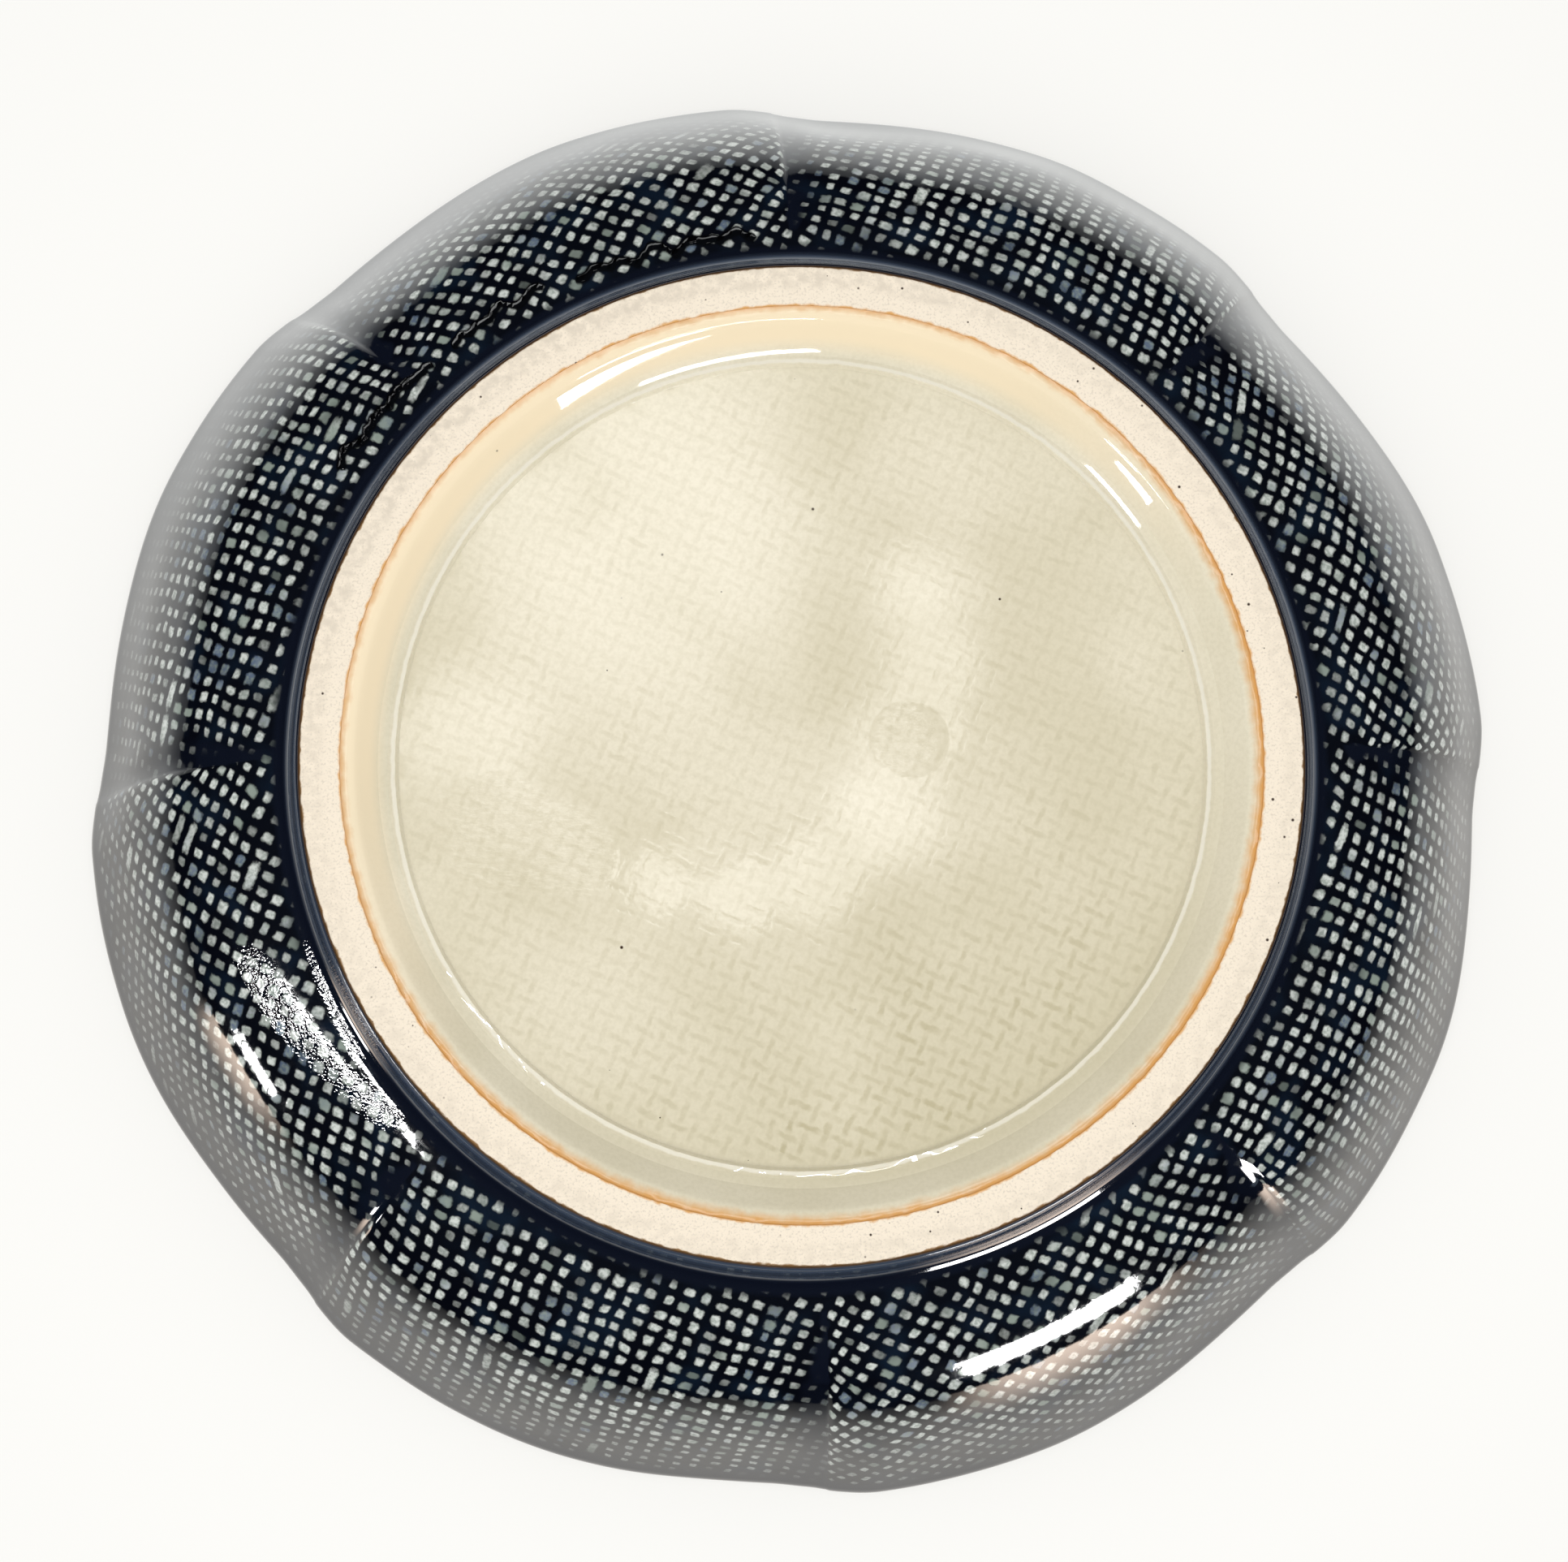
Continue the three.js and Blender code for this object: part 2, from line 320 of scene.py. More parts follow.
class GlazePaints(PropertyGroup):
    """Colours of the glazes and of the clay."""

    navy: paint("Navy", "Indigo glaze where it lies thick", 4, 6, 14)
    ink: paint("Ink", "Indigo glaze where it is thinner", 18, 34, 52)
    foot_blue: paint("Foot blue", "Indigo glaze on the foot, without marks", 12, 17, 30)
    # Painted reflection: the foot sheen is a pale band painted where the foot's edge would mirror light
    painted_foot_sheen: paint("Foot sheen", "Indigo glaze that has run thin over the foot's edge", 72, 84, 102)
    mark: paint("Mark", "Cloth mark under thin glaze", 222, 227, 221)
    mark_green: paint("Green mark", "Cloth mark under more glaze", 146, 158, 148)
    mark_blue: paint("Blue mark", "Cloth mark under a drop of indigo", 98, 113, 134)
    cream: paint("Cream", "Pale glaze", 243, 235, 212)
    # Celadon also paints shade on one side of the well
    celadon: paint("Celadon", "Pale glaze where it pools", 216, 207, 177)
    thread: paint("Thread", "Pale glaze in the lines that the threads left", 196, 186, 152)
    slip: paint("Slip", "Bead of slip under thin glaze", 252, 248, 234)
    # Peach is the kiln's flash and also painted light on the side of the well's cove that faces the windows
    peach: paint("Peach", "Pale glaze flashed by the kiln", 255, 237, 203)
    orange: paint("Orange", "Line where the pale glaze ends", 226, 170, 100)
    brown: paint("Brown", "Line where the indigo glaze ends", 150, 112, 66)
    clay: paint("Clay", "Bare clay", 253, 240, 219)
    ash: paint("Ash", "Grey bloom on the bare clay", 228, 216, 197)
    iron: paint("Iron", "Specks of iron", 62, 44, 32)


class StudioSizes(PropertyGroup):
    """Camera, lamps and table."""

    eye: place("Eye", "The camera, under the bowl's foot", -21.0, 55.7, -500.0)
    aim: place("Aim", "The point that the camera looks at", -1.7, 0.6, 18.5)
    focal_pixels: FloatProperty(name="Focal length", description="In pixels of the frame", default=5146)
    table: paint("Table", "Pale table", 250, 249, 245)
    table_half: length("Table half", "Half the width of the table", 20000)
    lamp_distance: length("Lamp distance", "From the bowl to the window lamps", 1200)


@dataclass
class Stop:
    """A point of a section: radius, height, length along the clay and dip in the deepest crease.

    Seen is 1 on a face that shows.
    """

    r: float
    z: float
    run: float = 0.0
    dip_r: float = 0.0
    dip_z: float = 0.0
    seen: float = 0.0


# Values of a stop that its vertices carry
STOP_LAYERS = ("run", "dip_r", "dip_z", "seen")

# Values that the indigo coat carries for its shader
COAT_LAYERS = ("mark", "thin", "pitted", "seam")


def smooth(value, low, high):
    """From 0 at low to 1 at high, gently at both ends. Low may be the greater."""
    t = min(max((value - low) / (high - low), 0.0), 1.0)
    return t * t * (3 - 2 * t)


def steps(start, end, number):
    """Even steps from one value to another, with both ends."""
    return [start + (end - start) * i / number for i in range(number + 1)]


class Wall:
    """The outside of the clay, from the edge of the flat base to the lip, by its length."""

    def __init__(self, sizes):
        self.sizes = sizes
        slope = sizes.lip_slope
        lip_height = sizes.height - sizes.coat - sizes.lip_thickness / 2 * (1 + math.cos(slope))
        base = Vector((sizes.base_radius, 0, sizes.well_depth))
        lip = Vector((sizes.rim_radius, 0, lip_height))
        base_handle = base + Vector((sizes.spread, 0, 0))
        lip_handle = lip - Vector((math.cos(slope), 0, math.sin(slope))) * sizes.rise
        self.points = interpolate_bezier(base, base_handle, lip_handle, lip, CURVE_SAMPLES)
        self.runs = [0.0]
        for here, there in zip(self.points, self.points[1:]):
            self.runs.append(self.runs[-1] + (there - here).length)
        self.length = self.runs[-1]
        self.seat_run = self.run_at(sizes.seat_radius)
        self.fillet_run = self.run_at(sizes.foot_radius + sizes.fillet_reach)

    def run_at(self, radius):
        """Length along the wall at which it reaches a radius."""
        return next(run for point, run in zip(self.points, self.runs) if point.x >= radius)

    def climb(self, run):
        """How far up the free wall a length lies, from 0 at the fillet to 1 at the lip."""
        return min(max((run - self.fillet_run) / (self.length - self.fillet_run), 0.0), 1.0)

    def stop(self, run, depth=0.0):
        """The point at a length along the wall, some depth into the clay."""
        i = min(max(bisect_right(self.runs, run), 1), CURVE_SAMPLES - 1)
        here, there = self.points[i - 1], self.points[i]
        point = here.lerp(there, (run - self.runs[i - 1]) / (self.runs[i] - self.runs[i - 1]))
        way = (there - here).normalized()
        lobe = math.sin(self.climb(run) * math.pi / 2)
        step = self.sizes.petal_step * lobe
        return Stop(
            r=point.x - way.z * depth,
            z=point.z + way.x * depth,
            run=self.sizes.base_radius + run,
            dip_r=-step * (way.z * (1 - lobe) + lobe),
            dip_z=step * way.x * (1 - lobe),
        )

    def lip(self, turn):
        """A point round the lip, by its turn from the outside over the crown to the inside."""
        reach = self.sizes.lip_thickness / 2
        middle = self.stop(self.length, reach)
        lean = self.sizes.lip_slope - math.pi / 2 + turn
        r = middle.r + reach * math.cos(lean)
        z = middle.z + reach * math.sin(lean)
        return replace(middle, r=r, z=z, run=middle.run + reach * turn)

    def thickness(self, run):
        sizes = self.sizes
        return sizes.floor_thickness + (sizes.lip_thickness - sizes.floor_thickness) * run / self.length


def bend(start, corner, end, number):
    """Stops along a bend between two stops, drawn towards a corner."""
    ends = [Vector((stop.r, 0, stop.z)) for stop in (start, end)]
    pull = Vector((corner.r, 0, corner.z))
    handles = [point.lerp(pull, 2 / 3) for point in ends]
    curve = interpolate_bezier(ends[0], handles[0], handles[1], ends[1], number + 1)
    return [Stop(point.x, point.z, run=point.x) for point in curve]


def set_off(line, distance):
    """A line of stops set off from its clay, which lies to the left of the line's direction."""
    normals = []
    for here, there in zip(line, line[1:]):
        way = Vector((there.r - here.r, there.z - here.z)).normalized()
        normals.append(Vector((way.y, -way.x)))
    moved = []
    for i, stop in enumerate(line):
        before = normals[max(i - 1, 0)]
        after = normals[min(i, len(normals) - 1)]
        shift = (before + after) * (distance / (1 + before.dot(after)))
        moved.append(replace(stop, r=stop.r + shift.x, z=stop.z + shift.y))
    return moved


def coat_section(line, sizes, back_every):
    """A coat over a line of clay: its seen face, and a plainer face against the clay."""
    front = [replace(stop, seen=1.0) for stop in set_off(line, sizes.coat)]
    last = len(line) - 1
    kept = [stop for i, stop in enumerate(set_off(line, sizes.fit)) if i % back_every == 0 or i == last]
    return front + kept[::-1]


def outside_at(sizes, height):
    """The upright outside of the ring."""
    return Stop(sizes.foot_radius + (height - sizes.edge_wear) * math.tan(sizes.foot_flare), height)


def fillet_line(wall, sizes, number):
    """The fillet from the upright outside of the ring on to the bowl."""
    start = outside_at(sizes, sizes.foot_wall)
    end = wall.stop(wall.fillet_run, -sizes.slip_film - sizes.feather)
    corner = outside_at(sizes, end.z - sizes.feather)
    return bend(start, corner, end, number)


def cove_line(wall, sizes, number):
    """The hollow slope inside the ring, from the base down to the bare face."""
    start = wall.stop(wall.seat_run, -sizes.slip_film - sizes.feather)
    end = Stop(sizes.cove_radius, sizes.glaze_stop)
    high = Stop(start.r + 0.25 * sizes.cove_width, start.z - 0.22 * (start.z - end.z))
    low = Stop(start.r + 0.68 * sizes.cove_width, end.z + 0.07 * (start.z - end.z))
    slope = (high.z - low.z) / (low.r - high.r)
    hollow = Stop(high.r - (start.z - high.z) / slope, start.z)
    rounded = Stop(low.r + (low.z - end.z) / slope, end.z)
    line = bend(start, hollow, high, number // 3)
    line += bend(high, Stop((high.r + low.r) / 2, (high.z + low.z) / 2 + 0.04 * MM), low, number // 3)[1:]
    return line + bend(low, rounded, end, number // 3)[1:]


def outer_section(wall, sizes, rows):
    """The indigo coat: a rolled edge at the foot, glaze pooled in the corner, the wall and half the lip."""
    proud = sizes.slip_film + sizes.feather
    fade = sizes.fillet_reach * 2
    free = []
    for run in steps(wall.fillet_run, wall.length, rows):
        free.append(wall.stop(run, -proud * (1 - smooth(run - wall.fillet_run, 0, fade))))
    crown = math.pi - sizes.lip_slope
    free += [wall.lip(turn) for turn in steps(0, crown, 6)[1:]]
    foot = [outside_at(sizes, height) for height in steps(sizes.glaze_stop, sizes.foot_wall, 2)]
    back = set_off(foot + fillet_line(wall, sizes, 3)[1:-1] + free[::14] + free[-1:], sizes.fit)
    edge = sizes.foot_radius
    start = Stop(edge + 0.06 * MM, sizes.glaze_stop - 0.2 * MM)
    rolled = Stop(edge + 0.65 * MM, sizes.glaze_stop + 0.25 * MM)
    leaning = Stop(edge + 1.4 * MM, sizes.foot_wall + 0.3 * MM)
    front = set_off(free, sizes.coat)
    front = [stop for stop in front if stop.r > edge + sizes.fillet_reach + 0.8 * MM]
    slope = math.atan2(front[1].z - front[0].z, front[1].r - front[0].r)
    back_reach = 2.8 * MM
    corner = Stop(front[0].r - back_reach * math.cos(slope), front[0].z - back_reach * math.sin(slope))
    foot_front = bend(start, Stop(rolled.r, start.z - 0.25 * MM), rolled, 6)
    foot_front += bend(rolled, Stop((rolled.r + leaning.r) / 2, (rolled.z + leaning.z) / 2), leaning, 3)[1:]
    foot_front += bend(leaning, corner, front[0], 7)[1:-1]
    return [replace(stop, seen=1.0) for stop in foot_front + front] + back[::-1]


def inner_line(wall, sizes, rows):
    """The clay under the inside coat, from the crown of the lip down to the centre."""
    crown = math.pi - sizes.lip_slope
    start = crown + sizes.fit / (sizes.lip_thickness / 2)
    line = [wall.lip(turn) for turn in steps(start, math.pi, 6)]
    for run in steps(wall.length, 0, rows)[1:]:
        line.append(wall.stop(run, wall.thickness(run)))
    floor = line[-1]
    return line + [replace(floor, r=r, run=r) for r in steps(floor.r, 0, rows // 2)[1:]]


def well_line(wall, sizes, rows):
    """The clay and slip under the well's coat, from the centre out to the bare face."""
    base = [Stop(r, sizes.well_depth, run=r) for r in steps(0, sizes.base_radius, rows)]
    crown = Stop(sizes.bead_radius, sizes.well_depth - sizes.bead_height, run=sizes.bead_radius)
    cove = cove_line(wall, sizes, 15)
    low = sizes.well_depth
    rise = bend(base[-1], Stop(crown.r - sizes.bead_width / 4, low), crown, 4)
    fall = bend(crown, Stop(crown.r + sizes.bead_width / 4, cove[0].z), cove[0], 3)
    return base + rise[1:] + fall[1:] + cove[1:]


def sink(sizes, part):
    """How far the wall is sunk at a share of a petal: a quick step in at its crease, then slowly out."""
    half = sizes.step_half
    step_in = smooth(part, -half, half)
    come_out = smooth(part, half, sizes.crest_start)
    return step_in - come_out + smooth(part, 1 - half, 1 + half)


def turn_section(section, columns, closed):
    """The section turned all the way round the bowl's axis, with its stops' values in layers."""
    bm = bmesh.new()
    layers = [bm.verts.layers.float.new(name) for name in STOP_LAYERS]
    verts = []
    for stop in section:
        vert = bm.verts.new((stop.r, 0, stop.z))
        for name, layer in zip(STOP_LAYERS, layers):
            vert[layer] = getattr(stop, name)
        verts.append(vert)
    edges = [bm.edges.new(pair) for pair in zip(verts, verts[1:])]
    if closed:
        edges.append(bm.edges.new((verts[-1], verts[0])))
    slice_turn = TURN / PETALS
    about = {"axis": (0, 0, 1), "cent": (0, 0, 0)}
    bmesh.ops.spin(bm, geom=verts + edges, angle=slice_turn, steps=columns // PETALS, **about)
    whole = bm.verts[:] + bm.edges[:] + bm.faces[:]
    bmesh.ops.spin(bm, geom=whole, angle=TURN - slice_turn, steps=PETALS - 1, use_duplicate=True, **about)
    bmesh.ops.remove_doubles(bm, verts=bm.verts, dist=0.005 * MM)
    bmesh.ops.recalc_face_normals(bm, faces=bm.faces)
    return bm


def crease_lean(petal, part):
    """How far a share of a petal leans at the lip, with the crease that is nearer."""
    next_lean = CREASE_LEANS[(petal + 1) % PETALS]
    return CREASE_LEANS[petal] * smooth(part, 0.5, 0.0) + next_lean * smooth(part, 0.5, 1.0)


def sink_petals(bm, sizes, columns, crowd):
    """Gathers the columns at the creases, leans and sinks them, and notes each vertex's petal and share."""
    run_layer = bm.verts.layers.float["run"]
    lean_reach = sizes.rim_radius - sizes.foot_radius + 10 * MM
    dip_r = bm.verts.layers.float["dip_r"]
    dip_z = bm.verts.layers.float["dip_z"]
    petal_layer = bm.verts.layers.int.new("petal")
    share_layer = bm.verts.layers.float.new("share")
    for vert in bm.verts:
        r = math.hypot(vert.co.x, vert.co.y)
        column = round(math.atan2(vert.co.y, vert.co.x) / TURN * columns) % columns
        petal, even = divmod(column * PETALS, columns)
        even /= columns
        part = even - crowd * math.sin(TURN * even) / TURN
        turn = CREASES[petal] + PETAL_WIDTHS[petal] * part
        up_wall = min(max((vert[run_layer] - sizes.foot_radius) / lean_reach, 0.0), 1.0)
        turn += crease_lean(petal, part) * math.sqrt(up_wall)
        depth = sink(sizes, part)
        reach = r + vert[dip_r] * depth
        vert.co = (reach * math.cos(turn), reach * math.sin(turn), vert.co.z + vert[dip_z] * depth)
        vert[petal_layer] = petal
        vert[share_layer] = part
    bm.normal_update()


def cloth_at(cloth, sizes, petal, part, co, run):
    """Where a point lies on the flat cloth, counted in threads.

    Each petal bends up on its own axis, and its cloth hangs down and is gathered towards the creases.
    """
    axis = PETAL_AXES[petal]
    r = math.hypot(co.x, co.y)
    swing = math.atan2(co.y, co.x) - axis
    past = part * PETAL_WIDTHS[petal] * r
    before = (1 - part) * PETAL_WIDTHS[petal] * r
    up = smooth(run - sizes.foot_radius, 4 * MM, 16 * MM)
    sag = up * cloth.sag * math.exp(-min(past, before) / cloth.sag_reach)
    gather = up * cloth.gather * math.exp(-before / cloth.gather_reach)
    flat = Vector((r * math.cos(swing) + run - r + sag, r * math.sin(swing) + gather, 0))
    flat.rotate(Matrix.Rotation(axis - cloth.turn, 3, "Z"))
    flat += noise.noise_vector(flat / cloth.drift_span) * cloth.drift
    flat += noise.noise_vector(flat / cloth.shake_span) * cloth.shake
    return flat / cloth.pitch


def lay_cloth(bm, cloth, sizes):
    """Gives the faces a UV map of the cloth, counted in threads, that jumps at the creases."""
    uv = bm.loops.layers.uv.new("cloth")
    run = bm.verts.layers.float["run"]
    petal_layer = bm.verts.layers.int["petal"]
    share_layer = bm.verts.layers.float["share"]
    for face in bm.faces:
        petal = next((vert[petal_layer] for vert in face.verts if vert[share_layer] > 0), 0)
        for loop in face.loops:
            vert = loop.vert
            part = vert[share_layer] if vert[petal_layer] == petal else 1.0
            loop[uv].uv = cloth_at(cloth, sizes, petal, part, vert.co, vert[run]).xy


def thread_relief(threads):
    """Height of the cloth mark between four threads, from 0 on a thread to 1 between them."""
    return math.prod(smooth(0.5 - abs(value % 1 - 0.5), 0.1, 0.4) for value in threads.xy)


def add_object(bm, name, material):
    """An object in the scene that takes up the bmesh."""
    mesh = bpy.data.meshes.new(name)
    bm.to_mesh(mesh)
    bm.free()
    mesh.materials.append(material)
    made = bpy.data.objects.new(name, mesh)
    bpy.context.scene.collection.objects.link(made)
    return made


def finish_mesh(bm, name, material, kept_layers=()):
    """Makes the bmesh a smooth piece that rides on the bowl."""
    for layers in (bm.verts.layers.float, bm.verts.layers.int):
        for key in [key for key in layers.keys() if key not in kept_layers]:
            layers.remove(layers[key])
    for face in bm.faces:
        face.smooth = True
    piece = add_object(bm, name, material)
    piece.data.set_sharp_from_angle(angle=math.radians(50))
    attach(piece, "root")
    return piece


def add_node(tree, kind, inputs=(), **settings):
    """A new node, with each named or numbered input set to a value or linked to a socket."""
    node = tree.nodes.new(kind)
    for name, value in settings.items():
        setattr(node, name, value)
    for key, value in dict(inputs).items():
        if isinstance(value, bpy.types.NodeSocket):
            tree.links.new(value, node.inputs[key])
        else:
            node.inputs[key].default_value = value
    return node


def calc(tree, operation, *values):
    """One sum on values or sockets."""
    return add_node(tree, "ShaderNodeMath", enumerate(values), operation=operation).outputs[0]


def times(tree, first, *others):
    """The product of values or sockets."""
    for value in others:
        first = calc(tree, "MULTIPLY", first, value)
    return first


def plus(tree, first, *others):
    """The total of values or sockets."""
    for value in others:
        first = calc(tree, "ADD", first, value)
    return first


def vector_calc(tree, operation, *values):
    """One sum on vectors."""
    node = add_node(tree, "ShaderNodeVectorMath", enumerate(values), operation=operation)
    return node.outputs["Value" if operation in ("LENGTH", "DISTANCE", "DOT_PRODUCT") else "Vector"]


def ease(tree, value, low, high, start=0.0, end=1.0):
    """A socket that goes gently from start to end as its value goes from low to high."""
    inputs = {"Value": value, "From Min": low, "From Max": high, "To Min": start, "To Max": end}
    node = add_node(tree, "ShaderNodeMapRange", inputs, interpolation_type="SMOOTHSTEP")
    return node.outputs["Result"]


def split(tree, vector):
    """X, Y and Z of a vector or a colour."""
    return add_node(tree, "ShaderNodeSeparateXYZ", {0: vector}).outputs


def draws(tree, *numbers):
    """Random values for a cell that up to three numbers name."""
    cell = add_node(tree, "ShaderNodeCombineXYZ", enumerate(numbers)).outputs[0]
    return add_node(tree, "ShaderNodeTexWhiteNoise", {0: cell}, noise_dimensions="3D").outputs


def between(tree, factor, first, second):
    """One colour turning into another."""
    inputs = {0: factor, 6: opaque(first), 7: opaque(second)}
    return add_node(tree, "ShaderNodeMix", inputs, data_type="RGBA").outputs[2]


def opaque(colour):
    """A colour that a colour socket takes, or the socket as it is."""
    if isinstance(colour, bpy.types.NodeSocket):
        return colour
    return (*colour[:3], 1.0)


def cloud(tree, vector, span, detail=2.0):
    """Soft noise from 0 to 1 over a span in metres."""
    inputs = {"Vector": vector, "Scale": 1 / span, "Detail": detail}
    return add_node(tree, "ShaderNodeTexNoise", inputs).outputs["Fac"]


def new_group(name, inputs, outputs):
    """A shader node group with float or vector sockets, with its two end nodes."""
    tree = bpy.data.node_groups.new(name, "ShaderNodeTree")
    for socket, default in inputs.items():
        kind = "NodeSocketVector" if default is None else "NodeSocketFloat"
        made = tree.interface.new_socket(name=socket, in_out="INPUT", socket_type=kind)
        if default is not None:
            made.default_value = default
    for socket in outputs:
        tree.interface.new_socket(name=socket, in_out="OUTPUT", socket_type="NodeSocketFloat")
    start = tree.nodes.new("NodeGroupInput")
    end = tree.nodes.new("NodeGroupOutput")
    return tree, start.outputs, end.inputs


def use_group(tree, name, inputs):
    """A group placed in a tree, with its own values."""
    return add_node(tree, "ShaderNodeGroup", inputs, node_tree=bpy.data.node_groups[name]).outputs


def make_cloth_group():
    """Marks of a plain weave: pale dots between the threads, and the dashes of threads that lie on top."""
    sockets = {"Cloth": None, "Size": 0.3, "Merged": 0.03, "Soft": 0.3}
    tree, start, end = new_group("Cloth marks", sockets, ("Dot", "Chance", "Hue", "Dash"))
    flat = split(tree, start["Cloth"])
    across, along = flat["X"], flat["Y"]
    row = calc(tree, "FLOOR", along)
    pair = times(tree, calc(tree, "FLOOR", times(tree, across, 0.5)), 2.0)
    joined = calc(tree, "LESS_THAN", draws(tree, pair, row, 7.0)["Value"], start["Merged"])
    column = calc(tree, "FLOOR", across)
    column = add_node(tree, "ShaderNodeMix", {0: joined, 2: column, 3: pair}).outputs[0]
    middle = plus(tree, column, calc(tree, "MULTIPLY_ADD", joined, 0.5, 0.5))
    chance = draws(tree, column, row)
    draw = split(tree, chance["Color"])
    ragged = calc(tree, "MULTIPLY_ADD", cloud(tree, start["Cloth"], 1 / 2.6), 0.9, -0.45)
    powers = []
    for place_in, centre, moved, grown, extra in (
        (across, middle, draw["X"], draw["Z"], times(tree, joined, 0.5)),
        (along, plus(tree, row, 0.5), draw["Y"], draw["X"], 0.0),
    ):
        off = calc(tree, "SUBTRACT", place_in, centre)
        off = plus(tree, off, calc(tree, "MULTIPLY_ADD", moved, 0.14, -0.07))
        half = times(tree, start["Size"], calc(tree, "MULTIPLY_ADD", grown, 0.4, 0.8))
        half = plus(tree, half, extra)
        powers.append(calc(tree, "POWER", calc(tree, "ABSOLUTE", calc(tree, "DIVIDE", off, half)), 4.0))
    reach = plus(tree, calc(tree, "POWER", plus(tree, *powers), 1 / 4), ragged)
    outer = plus(tree, start["Soft"], 1.0)
    inner = calc(tree, "SUBTRACT", 1.0, start["Soft"])
    dashes = []
    waver = times(tree, ragged, 0.35)
    for place_in, crossing, sign in ((across, along, 1.0), (along, across, -1.0)):
        thread = calc(tree, "ROUND", place_in)
        aside = plus(tree, calc(tree, "SUBTRACT", place_in, thread), waver)
        line = ease(tree, calc(tree, "ABSOLUTE", aside), 0.25, 0.06)
        phase = plus(tree, thread, crossing)
        wave = calc(tree, "COSINE", times(tree, phase, math.pi))
        number = calc(tree, "ROUND", times(tree, phase, 0.5))
        drawn = draws(tree, thread, number, sign)["Value"]
        strength = calc(tree, "MULTIPLY_ADD", drawn, 0.5, 0.5)
        on_top = ease(tree, times(tree, wave, sign), -0.9, 0.3, 0.2, 1.0)
        dashes.append(times(tree, line, on_top, strength))
    tree.links.new(ease(tree, reach, outer, inner), end["Dot"])
    tree.links.new(chance["Value"], end["Chance"])
    tree.links.new(draw["Z"], end["Hue"])
    tree.links.new(calc(tree, "MAXIMUM", *dashes), end["Dash"])


def make_speck_group():
    """Small specks of iron, one in some of the cells of a scatter."""
    sockets = {"Vector": None, "Span": 6 * MM, "Radius": 0.035, "Share": 0.4}
    tree, start, end = new_group("Iron specks", sockets, ("Speck",))
    scale = calc(tree, "DIVIDE", 1.0, start["Span"])
    scatter = add_node(tree, "ShaderNodeTexVoronoi", {"Vector": start["Vector"], "Scale": scale})
    draw = split(tree, scatter.outputs["Color"])
    radius = times(tree, start["Radius"], calc(tree, "MULTIPLY_ADD", draw["Y"], 0.9, 0.35))
    spot = ease(tree, scatter.outputs["Distance"], radius, times(tree, radius, 0.4))
    chosen = calc(tree, "LESS_THAN", draw["X"], start["Share"])
    tree.links.new(times(tree, spot, chosen), end["Speck"])


def new_material(name):
    """A material with a Principled shader, and the object's coordinates."""
    material = bpy.data.materials.new(name)
    material.use_nodes = True
    tree = material.node_tree
    shader = tree.nodes["Principled BSDF"]
    where = add_node(tree, "ShaderNodeTexCoord").outputs["Object"]
    return material, tree, shader, where


def radius_of(tree, where):
    """Distance from the bowl's axis, and the height."""
    parts = split(tree, where)
    flat = add_node(tree, "ShaderNodeCombineXYZ", {0: parts["X"], 1: parts["Y"]}).outputs[0]
    return vector_calc(tree, "LENGTH", flat), parts["Z"]


def towards(tree, where, radius, side):
    """From -1 to 1 round the bowl, as a point turns towards a side."""
    return calc(tree, "DIVIDE", vector_calc(tree, "DOT_PRODUCT", where, side), radius)


def add_specks(tree, where, colour, paints, span, radius):
    """The colour with specks of iron, about one in each span."""
    inputs = {"Vector": where, "Span": span, "Radius": radius, "Share": 1.0}
    return between(tree, use_group(tree, "Iron specks", inputs)["Speck"], colour, paints.iron)


def attribute(tree, name):
    """A value that the mesh carries."""
    return add_node(tree, "ShaderNodeAttribute", attribute_name=name).outputs["Fac"]


def bump(tree, shader, height, distance, strength):
    """Fine relief on the shader."""
    inputs = {"Height": height, "Distance": distance, "Strength": strength}
    made = add_node(tree, "ShaderNodeBump", inputs)
    tree.links.new(made.outputs["Normal"], shader.inputs["Normal"])


